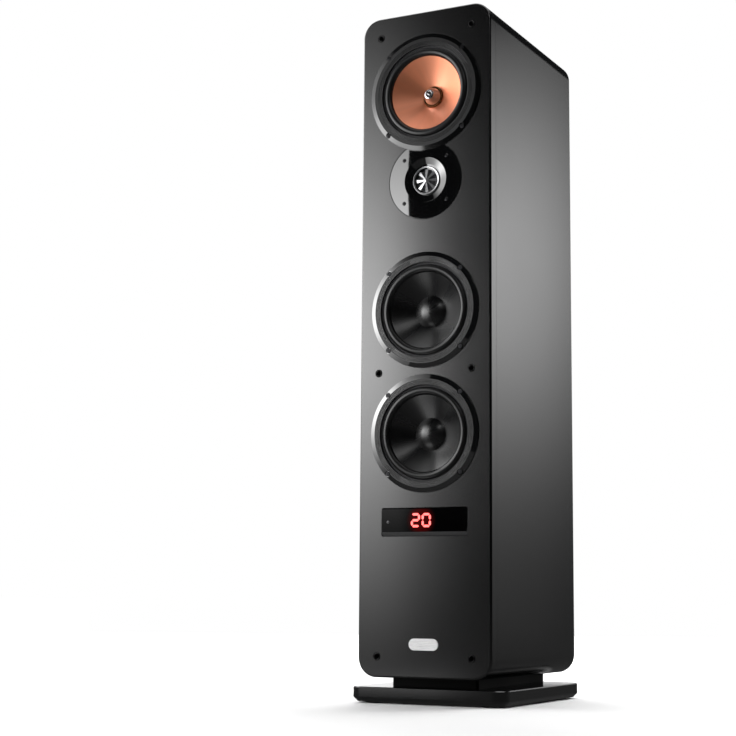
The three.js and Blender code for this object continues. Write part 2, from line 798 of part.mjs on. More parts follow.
// The cap that screws down on a stud: a blind bore and twelve flats.
function postCap() {
  const bottom = DISH_FLOOR + POST.lift;
  const top = bottom + POST.length;
  const boreEnd = DISH_FLOOR + POST.studLength + 1;
  return turned(
    [
      [0, top],
      [POST.radius, top],
      [POST.radius, bottom],
      [POST.stud + GAP, bottom],
      [POST.stud + GAP, boreEnd],
      [0, boreEnd],
    ],
    SMALL_ROUND,
  );
}

// A comb of fins that stand up along Z.
function heatSink() {
  const { left, bottom, height, fins, pitch, fin, base, reach } = HEAT_SINK;
  const back = AMP_BOARD_Y + AMP_BOARD.thickness + GAP;
  const up = [bottom, bottom + height];
  const plate = block([left, left + (fins - 1) * pitch + fin], [back, back + base], up);
  const blades = Array.from({ length: fins }, (_, i) => {
    const edge = left + i * pitch;
    return block([edge, edge + fin], [back + base - 1, back + reach], up);
  });
  return geometryOf(join(plate, ...blades));
}

function addAmplifier() {
  addPiece("amp_panel", ampPanel(), FINISH.satin);
  addPiece("mains_inlet", mainsInlet(), FINISH.satin);
  addPowerRocker();
  addPiece("input_jack_strip", jackStrip(), FINISH.satin);
  POSTS.forEach(({ name, x, look }) => {
    addPiece(name, postCap(), look).position.set(x, 0, POST.z);
  });
  const board = roundedRectangle(AMP_BOARD.width, AMP_BOARD.height, AMP_BOARD.corner, 0, AMP.z);
  addPiece("amp_board", upright(board, AMP_BOARD_Y, AMP_BOARD_Y + AMP_BOARD.thickness), FINISH.board);
  addPiece("amp_heat_sink", heatSink(), FINISH.steel);
  const { bore: core, radius, length, y } = TRANSFORMER;
  const toroid = tube(core, radius, 0, length).rotateX(Math.PI / 2);
  addPiece("mains_transformer", toroid, FINISH.copper).position.set(0, y, INNER.bottom + GAP);
}

addCabinet();
addBase();
addConeDrivers();
addTweeter();
addDisplay();
addAmplifier();

export default speaker;
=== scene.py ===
import math

import bmesh
import bpy
from mathutils import Matrix, Vector, noise


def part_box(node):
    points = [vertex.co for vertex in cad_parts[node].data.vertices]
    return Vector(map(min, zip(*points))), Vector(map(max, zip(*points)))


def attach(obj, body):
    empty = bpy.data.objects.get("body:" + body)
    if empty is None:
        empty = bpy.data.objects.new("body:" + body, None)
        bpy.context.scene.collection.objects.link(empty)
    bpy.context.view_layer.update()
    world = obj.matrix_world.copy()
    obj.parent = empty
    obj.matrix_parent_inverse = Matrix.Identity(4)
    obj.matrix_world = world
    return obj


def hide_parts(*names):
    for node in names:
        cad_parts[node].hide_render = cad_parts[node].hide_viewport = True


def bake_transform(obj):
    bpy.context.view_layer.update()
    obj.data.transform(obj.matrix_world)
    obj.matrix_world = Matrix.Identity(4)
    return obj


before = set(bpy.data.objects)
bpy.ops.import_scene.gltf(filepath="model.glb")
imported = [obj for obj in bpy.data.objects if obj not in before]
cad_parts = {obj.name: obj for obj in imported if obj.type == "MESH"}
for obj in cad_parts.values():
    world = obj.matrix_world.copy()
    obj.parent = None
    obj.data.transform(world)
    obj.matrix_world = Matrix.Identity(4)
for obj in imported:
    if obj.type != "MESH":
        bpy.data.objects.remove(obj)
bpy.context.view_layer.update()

# The speaker's visible surfaces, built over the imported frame. Lengths are in millimetres in the
# speaker's own frame: +Z up, the front faces -Y. build() turns them into metres.

MM = 0.001
SIDES = 128  # of a turned piece that shows
FEW_SIDES = 64  # of a small or hidden turned piece


def box(node):
    """A CAD node's lowest and highest corners, in millimetres."""
    low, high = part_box(node)
    return low / MM, high / MM


def middle(node):
    low, high = box(node)
    return (low + high) / 2


def size(node):
    low, high = box(node)
    return high - low


FRONT = box("front_baffle")[0].y  # y of the baffle's front
BACK = box("cabinet_shell")[1].y
CABINET = {"width": 215, "height": 1006, "corner": 29, "wall": 15, "edge": 3.2}
CABINET_Z = middle("cabinet_shell").z
TOUCH = 0.05  # gap left between two pieces that meet
JOINT_GAP = 0.3  # the frame's gap between the baffle and the cabinet behind it
BORE_GAP = 0.35  # all round a part that sits in an opening
PAST = 9  # how far a cutter goes past what it cuts
ON_AXIS = 1e-6  # a smaller radius than this is a point on the axis

# One cone driver. Radii, and depths behind the baffle's front.
DRIVER = {
    "ring_inner": 71.8, "ring_front": -3.5, "bevel": 7, "bevel_depth": 2.2,
    "flange": 81, "flange_depth": 3.7, "wall_inner": 68.5, "wall_outer": 72, "wall_depth": 20,
    "ledge_inner": 37, "ledge_outer": 44, "ledge_depth": 35,
    "seat": 46, "seat_depth": 43, "seat_back": 45.4,
    "roll": 5.5, "roll_middle": 63.5, "rim": 57.2, "rim_depth": 3.2, "neck": 16.7, "neck_depth": 27,
    "cap": 23.5, "cap_rise": 9,
    "coil_inner": 15.3, "coil_outer": 16, "coil_front": 25, "coil_back": 58,
}
CONE_DRIVERS = ("midrange", "woofer_upper", "woofer_lower")
SCREW_INSET = 4.6  # from a trim ring's edge to the middle of its screws
TWEETER = {"plate": 60, "thickness": 3, "dish": 34.5, "throat": 17, "depth": 6, "hole": 37.5}
PETAL_TWIST, PETAL_PITCH = -4, -10  # how the diffuser's petals are set, in degrees
TWEETER_SCREWS = (35, 33.5)  # either side of the tweeter's axis, across and up
SOCKETS = [(x, z) for z in (1012, 488, 68.5) for x in (-76, 76)]  # they hold a grille
DISPLAY_SLOT = (118, 30)  # the opening behind the window
PORT = {"bore": 30, "wall": 2.6, "collar": 2.8, "hole": 33.2}
AMP = {"flange": 10, "sheet": 3, "dish": 14, "corner": 6}

# ---- Lines and solids ----


def softened(points, radius, closed=True, steps=5):
    """A line with its corners rounded. A corner's own radius may follow its two coordinates."""
    line = []
    for i, point in enumerate(points):
        here = Vector(point[:2])
        reach = point[2] if len(point) > 2 else radius
        at_end = not closed and i in (0, len(points) - 1)
        before = Vector(points[i - 1][:2]) - here
        after = Vector(points[(i + 1) % len(points)][:2]) - here
        corner = math.pi if at_end else before.angle(after)
        if reach == 0 or abs(corner - math.pi) < 0.02:
            line.append(here)
            continue
        away = min(reach / math.tan(corner / 2), 0.48 * before.length, 0.48 * after.length)
        inwards = (before.normalized() + after.normalized()).normalized()
        centre = here + inwards * (away / math.cos(corner / 2))
        start = here + before.normalized() * away - centre
        end = here + after.normalized() * away - centre
        sweep = math.atan2(start.x * end.y - start.y * end.x, start.dot(end))
        for step in range(steps + 1):
            turn = sweep * step / steps
            across = Vector((-start.y, start.x))
            line.append(centre + start * math.cos(turn) + across * math.sin(turn))
    return line


def skinned(loops, closed=False):
    """A solid through loops of points. A loop of one point is on the axis. The ends are filled
    unless the loops close on themselves."""
    bm = bmesh.new()
    rings = [[bm.verts.new(point) for point in loop] for loop in loops]
    following = rings[1:] + rings[:1] if closed else rings[1:]
    for one, other in zip(rings, following):
        count = max(len(one), len(other))
        if count == 1:
            continue
        for i in range(count):
            j = (i + 1) % count
            corners = [
                one[i % len(one)], one[j % len(one)], other[j % len(other)], other[i % len(other)],
            ]
            bm.faces.new([v for k, v in enumerate(corners) if v not in corners[:k]])
    for end in () if closed else (rings[0], rings[-1]):
        if len(end) > 1:
            bm.faces.new(end)
    return bm


def spun(profile, sides=SIDES, shape=None):
    """A profile of (radius, depth) turned about Y. It ends on the axis or closes on itself.
    shape(radius, depth, angle) may change the radius on the way round."""
    loops = []
    for radius, depth in profile:
        if radius < ON_AXIS:
            loops.append([(0, depth, 0)])
            continue
        loop = []
        for i in range(sides):
            angle = 2 * math.pi * i / sides
            reach = shape(radius, depth, angle) if shape else radius
            loop.append((reach * math.cos(angle), depth, reach * math.sin(angle)))
        loops.append(loop)
    return skinned(loops, closed=profile[0][0] > ON_AXIS)


def soft_spun(profile, radius=0.0, sides=SIDES, shape=None, steps=5):
    """A profile turned about Y with its corners rounded."""
    line = softened(profile, radius, closed=profile[0][0] > ON_AXIS, steps=steps)
    return spun(line, sides, shape)


def rod(radius, start, end, sides=SIDES):
    """A plain cylinder about Y."""
    return spun([(0, start), (radius, start), (radius, end), (0, end)], sides)


def rectangle(width, height, corner, steps):
    """The outline of a rectangle with round corners, anticlockwise."""
    points = []
    for quarter, (right, up) in enumerate(((1, 1), (-1, 1), (-1, -1), (1, -1))):
        for step in range(steps + 1):
            angle = (quarter + step / steps) * math.pi / 2
            x = right * (width / 2 - corner) + corner * math.cos(angle)
            y = up * (height / 2 - corner) + corner * math.sin(angle)
            points.append((x, y))
    return points


def lofted(width, height, corner, profile, closed=False, steps=12, least=0.8):
    """A round-cornered rectangle in XZ carried along Y through (inset, depth) steps."""
    loops = []
    for inset, depth in profile:
        outline = rectangle(width - 2 * inset, height - 2 * inset, max(corner - inset, least), steps)
        loops.append([(x, depth, z) for x, z in outline])
    return skinned(loops, closed)


def slab(width, height, corner, front, back, front_edge, back_edge=0.5, steps=12):
    """A plate from the y of its front to the y of its back, with rounded edges."""
    inside = width / 4
    profile = [(inside, front), (0, front, front_edge), (0, back, back_edge), (inside, back)]
    line = softened(profile, 0, closed=False, steps=8)[1:-1]
    return lofted(width, height, corner, line, steps=steps)


def outline_prism(points, front, back):
    """An outline of (x, z) points carried from one y to another."""
    return skinned([[(x, y, z) for x, z in points] for y in (front, back)])


def placed(bm, x=0.0, y=0.0, z=0.0, turn=None):
    """A shape turned, then moved."""
    if turn:
        angle, axis = turn
        bmesh.ops.transform(bm, matrix=Matrix.Rotation(math.radians(angle), 4, axis), verts=bm.verts)
    bmesh.ops.translate(bm, vec=(x, y, z), verts=bm.verts)
    return bm


def joined(*shapes):
    """Several shapes in one, which don't cut each other."""
    whole = bmesh.new()
    for shape in shapes:
        mesh = bpy.data.meshes.new("shape")
        shape.to_mesh(mesh)
        shape.free()
        whole.from_mesh(mesh)
        bpy.data.meshes.remove(mesh)
    return whole


def loose(bm):
    """A bare object for a boolean, in millimetres."""
    bmesh.ops.recalc_face_normals(bm, faces=bm.faces)
    mesh = bpy.data.meshes.new("tool")
    bm.to_mesh(mesh)
    bm.free()
    tool = bpy.data.objects.new("tool", mesh)
    bpy.context.scene.collection.objects.link(tool)
    return tool


def combined(first, others, operation):
    """The first shape with each of the others cut from it, or joined to it."""
    body = loose(first)
    tools = [loose(other) for other in others]
    for tool in tools:
        step = body.modifiers.new("step", "BOOLEAN")
        step.operation = operation
        step.solver = "EXACT"
        step.object = tool
    bpy.context.view_layer.update()
    result = bmesh.new()
    result.from_object(body, bpy.context.evaluated_depsgraph_get())
    for spent in (body, *tools):
        bpy.data.objects.remove(spent)
    return result


def cut(first, *tools):
    return combined(first, tools, "DIFFERENCE")


def fused(first, *others):
    return combined(first, others, "UNION")


def build(name, bm, *materials, sharp=35):
    """A piece from a shape, in metres, with smooth faces and true creases."""
    bmesh.ops.recalc_face_normals(bm, faces=bm.faces)
    mesh = bpy.data.meshes.new(name)
    bm.to_mesh(mesh)
    bm.free()
    mesh.transform(Matrix.Scale(MM, 4))
    mesh.shade_smooth()
    mesh.set_sharp_from_angle(angle=math.radians(sharp))
    for material in materials:
        mesh.materials.append(material)
    piece = bpy.data.objects.new(name, mesh)
    bpy.context.scene.collection.objects.link(piece)
    normals = piece.modifiers.new("normals", "WEIGHTED_NORMAL")
    normals.keep_sharp = True
    return piece


def settle(piece, body, slot, *nodes):
    """The piece rides on its body and stands for CAD nodes; slot is not used."""
    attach(piece, body)
    if nodes:
        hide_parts(*nodes)
    return piece


def make(name, shape, material, slot, *nodes, body="root", sharp=35):
    """A piece of one material that rides on its body, takes a finish and stands for CAD nodes."""
    return settle(build(name, shape, material, sharp=sharp), body, slot, *nodes)


def paint(piece, choose):
    """Gives each face the material that choose picks from its middle, in millimetres, and its
    normal."""
    for face in piece.data.polygons:
        face.material_index = choose(face.center / MM, face.normal)


def radial_blend(piece):
    """A ring between the cabinet at its outer radius and a moving body at its inner one: its placement is
    baked into its mesh, and it is attached to neither.
    """
    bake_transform(piece)


# ---- Materials ----

NOISE_SPAN = (0.3, 0.7)  # where most of a soft noise lies


def node(tree, kind, *feeds, **settings):
    """A shader node. feeds go to its inputs in order, settings to its attributes or its named
    inputs. An input that is given a socket is linked to it."""
    made = tree.nodes.new(kind)
    given = list(zip(made.inputs, feeds))
    for name, value in settings.items():
        if hasattr(made, name):
            setattr(made, name, value)
        else:
            given.append((made.inputs[name.replace("_", " ")], value))
    for socket, value in given:
        if isinstance(value, bpy.types.NodeSocket):
            tree.links.new(value, socket)
        else:
            socket.default_value = value
    return made


def maths(tree, operation, *values):
    return node(tree, "ShaderNodeMath", *values, operation=operation).outputs[0]


def shade(color, amount):
    return [min(amount * part, 1) for part in color]


class Finish:
    """A material being made up. place is where a point is, in metres from a centre that is given
    in millimetres."""

    def __init__(self, name, color, roughness, metallic=0.0, centre=(0, 0, 0), stretch=(1, 1, 1), **sockets):
        self.material = bpy.data.materials.new(name)
        self.material.use_nodes = True
        self.tree = self.material.node_tree
        self.shader = self.tree.nodes["Principled BSDF"]
        self.place = self.coordinates(centre, stretch)
        settings = {"Base_Color": (*color, 1), "Roughness": roughness, "Metallic": metallic, **sockets}
        for socket, value in settings.items():
            self.shader.inputs[socket.replace("_", " ")].default_value = value

    def node(self, kind, *feeds, **settings):
        return node(self.tree, "ShaderNode" + kind, *feeds, **settings)

    def feed(self, socket, output):
        self.tree.links.new(output, self.shader.inputs[socket])

    def coordinates(self, centre=(0, 0, 0), stretch=(1, 1, 1)):
        mapping = self.node("Mapping", vector_type="TEXTURE", Vector=self.node("TexCoord").outputs["Object"])
        mapping.inputs["Location"].default_value = Vector(centre) * MM
        mapping.inputs["Scale"].default_value = stretch
        return mapping.outputs["Vector"]

    def length(self, vector):
        return self.node("VectorMath", vector, operation="LENGTH").outputs["Value"]

    def noise(self, scale, detail=3.0, place=None):
        """Soft noise from 0 to 1, with scale features to the metre."""
        return self.node("TexNoise", Vector=place or self.place, Scale=scale, Detail=detail).outputs[0]

    def threads(self, axis, pitch, distortion=0.0):
        """Waves that follow each other along an axis, pitch in millimetres."""
        wave = self.node("TexWave", bands_direction=axis, Vector=self.place, Distortion=distortion)
        wave.inputs["Scale"].default_value = 0.32 / (pitch * MM)
        return wave.outputs["Fac"]

    def vary(self, socket, factor, low, high):
        """Lets a number on the shader run between two values."""
        start, end = NOISE_SPAN
        spread = self.node("MapRange", Value=factor, From_Min=start, From_Max=end, To_Min=low, To_Max=high)
        self.feed(socket, spread.outputs["Result"])

    def tint(self, factor, dark, light):
        """Lets the base colour run between two colours."""
        ramp = self.node("ValToRGB", Fac=factor)
        for stop, position, color in zip(ramp.color_ramp.elements, NOISE_SPAN, (dark, light)):
            stop.position = position
            stop.color = (*color, 1)
        self.feed("Base Color", ramp.outputs["Color"])

    def emboss(self, height, strength, distance):
        """Raises the surface by a height map, distance in millimetres."""
        bump = self.node("Bump", Height=height, Strength=strength, Distance=distance * MM)
        self.feed("Normal", bump.outputs["Normal"])

    def glow(self, color, near, far, curve):
        """Light given off, which changes with distance from the centre. near and far are each
        (metres, strength)."""
        fall = self.node(
            "MapRange", interpolation_type=curve, Value=self.length(self.place),
            From_Min=near[0], To_Min=near[1], From_Max=far[0], To_Max=far[1],
        )
        self.feed("Emission Strength", fall.outputs["Result"])
        self.shader.inputs["Emission Color"].default_value = (*color, 1)


def moulded(name, color, roughness, grain=1500, depth=0.02, spread=0.05, metallic=0.0, **sockets):
    """Paint, plastic, rubber or cast metal: a fine grain, with slow changes of gloss and tone."""
    finish = Finish(name, color, roughness, metallic, **sockets)
    slow = finish.noise(9, 4)
    finish.tint(slow, shade(color, 0.82), shade(color, 1.18))
    finish.vary("Roughness", slow, roughness - spread, roughness + spread)
    finish.emboss(finish.noise(grain, 2), 0.6, depth)
    return finish.material


def turned(name, centre, color, roughness, metallic, lines=2200, depth=0.012, **sockets):
    """Metal or stiff card with fine rings about an axis and faint streaks that run out from it."""
    finish = Finish(name, color, roughness, metallic, centre, **sockets)
    flat = finish.node("VectorMath", finish.place, (1, 0, 1), operation="MULTIPLY").outputs[0]
    direction = finish.node("VectorMath", flat, operation="NORMALIZE").outputs[0]
    streak = finish.noise(1.6, 2, direction)
    radius = finish.length(flat)
    ring = finish.node("TexNoise", noise_dimensions="1D", W=radius, Scale=lines, Detail=2.0)
    finish.tint(streak, shade(color, 0.86), shade(color, 1.1))
    finish.vary("Roughness", streak, roughness - 0.04, roughness + 0.05)
    finish.emboss(ring.outputs[0], 0.5, depth)
    return finish.material


def brushed(name, color, roughness, stretch, metallic=1.0):
    """Metal brushed along the axis whose stretch is longest."""
    finish = Finish(name, color, roughness, metallic, stretch=stretch)
    streak = finish.noise(2600, 2)
    finish.tint(streak, shade(color, 0.9), color)
    finish.vary("Roughness", streak, roughness - 0.08, roughness + 0.1)
    finish.emboss(streak, 0.5, 0.02)
    return finish.material


def woven(name, color, pitch, roughness=0.9):
    """Cloth of crossing threads, pitch in millimetres."""
    finish = Finish(name, color, roughness, Sheen_Weight=0.3)
    cross = maths(finish.tree, "MAXIMUM", *[finish.threads(axis, pitch, 0.6) for axis in "XZ"])
    finish.tint(cross, shade(color, 0.55), color)
    finish.vary("Roughness", finish.noise(60), roughness - 0.1, roughness)
    finish.emboss(cross, 0.8, 0.25 * pitch)
    return finish.material


def fibrous(name, dark, light, scale, stretch=(1, 1, 1), depth=0.6):
    """Chipboard, wadding or felt: mottled, with a rough surface."""
    finish = Finish(name, light, 0.9, stretch=stretch)
    mottle = finish.noise(scale, 6)
    finish.tint(mottle, dark, light)
    finish.vary("Roughness", finish.noise(scale / 5), 0.8, 1.0)
    finish.emboss(mottle, 0.8, depth)
    return finish.material


def circuit_board():
    """Solder mask with tracks a little lighter than the ground."""
    finish = Finish("circuit_board", (0.02, 0.11, 0.05), 0.35)
    quarter = math.pi / 2
    upright = finish.node("VectorRotate", rotation_type="X_AXIS", Vector=finish.place, Angle=quarter)
    tracks = finish.node(
        "TexBrick", Vector=upright.outputs[0], Scale=90.0, Color1=(0.02, 0.12, 0.05, 1),
        Color2=(0.03, 0.16, 0.07, 1), Mortar=(0.05, 0.24, 0.11, 1),
    )
    finish.feed("Base Color", tracks.outputs["Color"])
    finish.vary("Roughness", finish.noise(300), 0.28, 0.45)
    finish.emboss(tracks.outputs["Fac"], 0.4, 0.05)
    return finish.material


def wound(name, color, pitch, axis):
    """Enamelled wire wound side by side along an axis, pitch in millimetres."""
    finish = Finish(name, color, 0.3, 0.9, Coat_Weight=0.6)
    wave = finish.threads(axis, pitch)
    finish.tint(wave, shade(color, 0.5), color)
    finish.vary("Roughness", finish.noise(120), 0.25, 0.4)
    finish.emboss(wave, 0.9, 0.3 * pitch)
    return finish.material


def smoked_window(centre):
    """Black gloss with a painted red glow round the middle of the lit characters: the window itself gives
    off light, standing in for the digits' light seen through it.
    """
    finish = Finish("smoked_window", (0.0008, 0.0008, 0.0009), 0.03, centre=centre, IOR=1.22)
    # painted glow: red light given off by the window, strongest over the digits' middle and gone 27 mm out
    finish.glow((1, 0.02, 0.02), (8 * MM, 0.055), (27 * MM, 0), "SMOOTHERSTEP")
    slow = finish.noise(14, 3, finish.coordinates())
    finish.vary("Roughness", slow, 0.04, 0.09)
    finish.tint(slow, (0.0006, 0.0006, 0.0007), (0.001, 0.001, 0.0011))
    return finish.material


def lit_led():
    finish = Finish("display_led", (0.5, 0.02, 0.02), 0.4, Emission_Color=(1, 0.13, 0.12, 1))
    mottle = finish.noise(500, 2)
    finish.vary("Emission Strength", mottle, 2.4, 3.4)
    finish.tint(mottle, (0.4, 0.01, 0.01), (0.6, 0.03, 0.03))
    return finish.material


def centre_line(driver):
    return (0, 0, middle(driver + "_trim_ring").z)


TWEETER_LINE = (0, 0, middle("tweeter_magnet").z)
COPPER = (0.93, 0.31, 0.145)
SILVER = (0.72, 0.72, 0.73)
CARD = (0.0025, 0.0025, 0.0027)
JET = (0.001, 0.001, 0.0011)
POLISH = {"grain": 700, "depth": 0.0004}

LACQUER = moulded(
    "satin_lacquer", (0.0007, 0.0007, 0.00075), 0.195, grain=900, depth=0.0004, spread=0.006, IOR=1.9
)
GLOSS = moulded("gloss_black", JET, 0.02, spread=0.006, IOR=2.1, **POLISH)
RIM = moulded("polished_rim", JET, 0.03, spread=0.01, IOR=2.5, **POLISH)
SOFT_RIM = moulded("satin_rim", JET, 0.13, spread=0.01, IOR=1.75, **POLISH)
BAND = moulded("satin_ring", (0.006, 0.006, 0.0063), 0.36, grain=2600, depth=0.006, spread=0.04)
PLASTIC = moulded("satin_plastic", (0.018, 0.018, 0.019), 0.45, grain=2400, depth=0.012)
FITTING = moulded("moulded_fitting", (0.045, 0.045, 0.047), 0.38, grain=2400, depth=0.01)
RUBBER = moulded("surround_rubber", (0.003, 0.003, 0.0032), 0.3, grain=3000, depth=0.006)
FOOT_RUBBER = moulded("foot_rubber", (0.02, 0.02, 0.021), 0.75, grain=1600, depth=0.03)
CAST = moulded("cast_frame", (0.03, 0.03, 0.032), 0.6, grain=1400, depth=0.04, metallic=0.3)
DARK_SCREW = moulded("dark_screw", (0.03, 0.03, 0.032), 0.3, grain=2600, depth=0.006, metallic=0.9)
BLACK_PANEL = moulded("black_panel", (0.03, 0.03, 0.031), 0.46, grain=2200, depth=0.02, metallic=0.2)
FERRITE = moulded("ferrite", (0.045, 0.045, 0.048), 0.75, grain=900, depth=0.08, metallic=0.2)
RED_PLASTIC = moulded("red_plastic", (0.42, 0.012, 0.012), 0.35, grain=1500, depth=0.01)
WHITE_PLASTIC = moulded("white_plastic", (0.7, 0.7, 0.68), 0.4, grain=1500, depth=0.01)
GOLD = moulded("gilt_contact", (0.85, 0.6, 0.25), 0.25, grain=2600, depth=0.004, metallic=1.0)
CHIP = moulded("chip_case", (0.02, 0.02, 0.02), 0.5, grain=2500, depth=0.02)
STEEL = moulded("plated_steel", (0.5, 0.5, 0.52), 0.32, grain=1200, depth=0.012, metallic=1.0)
ALLOY = brushed("extruded_alloy", (0.62, 0.62, 0.64), 0.35, (1, 1, 30))
BADGE_METAL = brushed("brushed_badge", (0.96, 0.96, 0.96), 0.3, (40, 1, 1), 0.15)
PLINTH_BLACK = moulded("plinth_black", (0.0015, 0.0015, 0.0016), 0.45, grain=1600, depth=0.004, IOR=1.25)
MDF = fibrous("bare_board", (0.30, 0.19, 0.10), (0.46, 0.31, 0.18), 700, depth=0.15)
WADDING = fibrous("wadding", (0.55, 0.55, 0.54), (0.85, 0.85, 0.83), 420, stretch=(1, 3, 1), depth=1.2)
SPIDER_CLOTH = woven("spider_cloth", (0.45, 0.32, 0.13), 0.7)
DOME_CLOTH = woven("dome_cloth", (0.03, 0.03, 0.034), 0.3, 0.55)
BOARD = circuit_board()
COIL_WIRE = wound("coil_wire", (0.72, 0.30, 0.12), 0.35, "Y")

# ---- Cabinet ----


def cabinet_shell():
    wall = CABINET["wall"]
    low = box("cabinet_shell")[0].y - JOINT_GAP + TOUCH
    profile = softened([(0, low), (0, BACK, 2.5), (wall, BACK, 1), (wall, low)], 0, steps=8)
    shape = lofted(
        CABINET["width"], CABINET["height"], CABINET["corner"], profile, closed=True, steps=20
    )
    make("cabinet_body", placed(shape, z=CABINET_Z), LACQUER, "black_lacquer", "cabinet_shell")


def step_tool(front, steps, x=0.0, z=0.0, relief=0.5):
    """A turned cutter: each step is (radius, how deep that radius goes), widest first. It leaves
    a chamfer as wide as relief round the opening."""
    mouth = steps[0][0] + relief
    profile = [(0, front - PAST), (mouth, front - PAST), (mouth, front)]
    depth = relief
    for radius, deeper in steps:
        profile += [(radius, front + depth), (radius, front + deeper)]
        depth = deeper
    profile.append((0, front + depth))
    return placed(spun(profile), x=x, z=z)


def front_baffle():
    back = box("front_baffle")[1].y
    through = back - FRONT + PAST
    board = slab(
        CABINET["width"], CABINET["height"], CABINET["corner"], FRONT, back, CABINET["edge"], steps=20
    )
    openings = []
    for driver in CONE_DRIVERS:
        seat = (DRIVER["flange"] + BORE_GAP, DRIVER["flange_depth"] + 0.6)
        throat = (DRIVER["wall_outer"] + BORE_GAP, through)
        openings.append(step_tool(FRONT, [seat, throat], z=centre_line(driver)[2]))
    plate = (TWEETER["plate"] + BORE_GAP, TWEETER["thickness"] + 0.3)
    openings.append(step_tool(FRONT, [plate, (TWEETER["hole"], through)], z=TWEETER_LINE[2]))
    window, display_z = size("display_window"), middle("display_window").z
    sill = rectangle(window.x + 2 * BORE_GAP, window.z + 2 * BORE_GAP, 3.3, 6)
    slot = rectangle(*DISPLAY_SLOT, 2, 6)
    for outline, depth in ((sill, window.y + 0.2), (slot, through)):
        openings.append(placed(outline_prism(outline, FRONT - PAST, FRONT + depth), z=display_z))
    openings += [step_tool(FRONT, [(5.2, 13)], x, z, relief=0.8) for x, z in SOCKETS]
    shape = cut(placed(board, z=CABINET_Z), *openings)
    make("baffle_board", shape, LACQUER, "black_lacquer", "front_baffle", sharp=40)


def grille_sockets():
    """Soft cups pressed into the baffle, flush with it."""
    outer, mouth, floor = 5.1, 3.1, 11
    profile = [
        (0, floor), (mouth - 0.6, floor), (mouth, 1.8, 0.8), (outer - 0.9, -0.8, 1.1), (outer, 0.6, 0.3),
        (outer, floor + 1.5), (0, floor + 1.5),
    ]
    for number, (x, z) in enumerate(SOCKETS, 1):
        cup = placed(soft_spun(profile, 0.3, FEW_SIDES), x, FRONT, z)
        make(f"grille_socket_{number}", cup, RUBBER, "rubber")


def rear_panel():
    low, high = box("rear_panel")
    panel = placed(slab(high.x - low.x, high.z - low.z, 14, low.y, high.y, 0.5, 1.0), z=CABINET_Z)
    amp, amp_z, port_z = size("amp_panel"), middle("amp_panel").z, middle("port_tube").z
    well = rectangle(amp.x - 2 * AMP["flange"] + 1, amp.z - 2 * AMP["flange"] + 1, 4, 8)
    seat = rectangle(amp.x + 1, amp.z + 1, AMP["corner"] + 0.5, 8)
    collar = size("port_tube").x / 2 + 0.4
    end = high.y + PAST
    tools = [
        placed(outline_prism(well, low.y - PAST, end), z=amp_z),
        placed(outline_prism(seat, high.y - AMP["sheet"] - 0.2, end), z=amp_z),
        placed(rod(PORT["hole"], low.y - PAST, end), z=port_z),
        placed(rod(collar, high.y - PORT["collar"] - 0.4, end), z=port_z),
    ]
    make("back_board", cut(panel, *tools), LACQUER, "black_lacquer", "rear_panel")
    inset, rows = 9, 5
    pitch = (high.z - low.z - 2 * inset) / (rows - 1)
    places = [
        (side * (high.x - inset), low.z + inset + pitch * row) for side in (-1, 1) for row in range(rows)
    ]
    screws("rear_screw", places, high.y + 0.3, head=3.4, depth=1.6, facing=-1)


def port_tube():
    """A plain tube that flares towards its mouth, with a collar let into the back."""
    low, high = box("port_tube")
    bore, wall, collar = PORT["bore"], PORT["wall"], (high.x - low.x) / 2
    spread, length = 0.86 * (collar - bore), 1.9 * (collar - bore)
    behind = high.y - PORT["collar"]
    mouth = []
    for i in range(13):
        turn = i * math.pi / 24
        mouth.append((bore + spread * (1 - math.cos(turn)), high.y - length * (1 - math.sin(turn))))
    outside = softened([
        (bore + spread, high.y), (collar, high.y, 1.2), (collar, behind, 0.4), (bore + wall, behind),
        (bore + wall, low.y, 0.8), (bore, low.y, 0.8), (bore, high.y - length),
    ], 0, closed=False)
    shape = placed(spun(mouth + outside[1:-1]), z=middle("port_tube").z)
    make("reflex_port", shape, PLASTIC, "satin_plastic", "port_tube")


def damping_pad():
    """Loose wadding: a crowned slab with an uneven surface."""
    half, centre = size("damping_pad") / 2, middle("damping_pad")
    bm = bmesh.new()
    bmesh.ops.create_cube(bm, size=2)
    bmesh.ops.subdivide_edges(bm, edges=bm.edges, cuts=23, use_grid_fill=True)
    for vertex in bm.verts:
        u, v, w = vertex.co
        edge = max(abs(u), abs(w))
        crown = 1 - 0.35 * edge**6
        lumps = noise.noise(Vector((5 * u, 2 * v, 5 * w)))
        fluff = lumps + 0.5 * noise.noise(Vector((13 * u, 5 * v, 13 * w)))
        reach = (1 - 0.03 * (abs(v) * edge) ** 2) * (0.97 + 0.02 * fluff)
        vertex.co = (half.x * u * reach, half.y * v * crown * (0.9 + 0.09 * fluff), half.z * w * reach)
    pad = make("damping_wool", placed(bm, *centre), WADDING, "wadding", "damping_pad", sharp=60)


def inner_boards():
    """The boxed chamber and the brace stay as the frame has them, in bare board."""
    for name in ("midrange_chamber", "window_brace"):
        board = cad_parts[name]
        board.data.materials.clear()
        board.data.materials.append(MDF)


# ---- Plinth, base plate and feet ----


def flat_plate(node_name, corner, lower_edge, upper_edge):
    """A round-cornered plate that lies flat. Each edge is a function from the height of its face
    to its (inset, height) points."""
    low, high = box(node_name)
    inside = 40
    profile = [(inside, low.z), *lower_edge(low.z), *upper_edge(high.z), (inside, high.z)]
    line = softened(profile, 0, closed=False)[1:-1]
    shape = lofted(high.x - low.x, high.y - low.y, corner, line, steps=20)
    centre = (low + high) / 2
    return placed(shape, centre.x, centre.y, turn=(90, "X"))


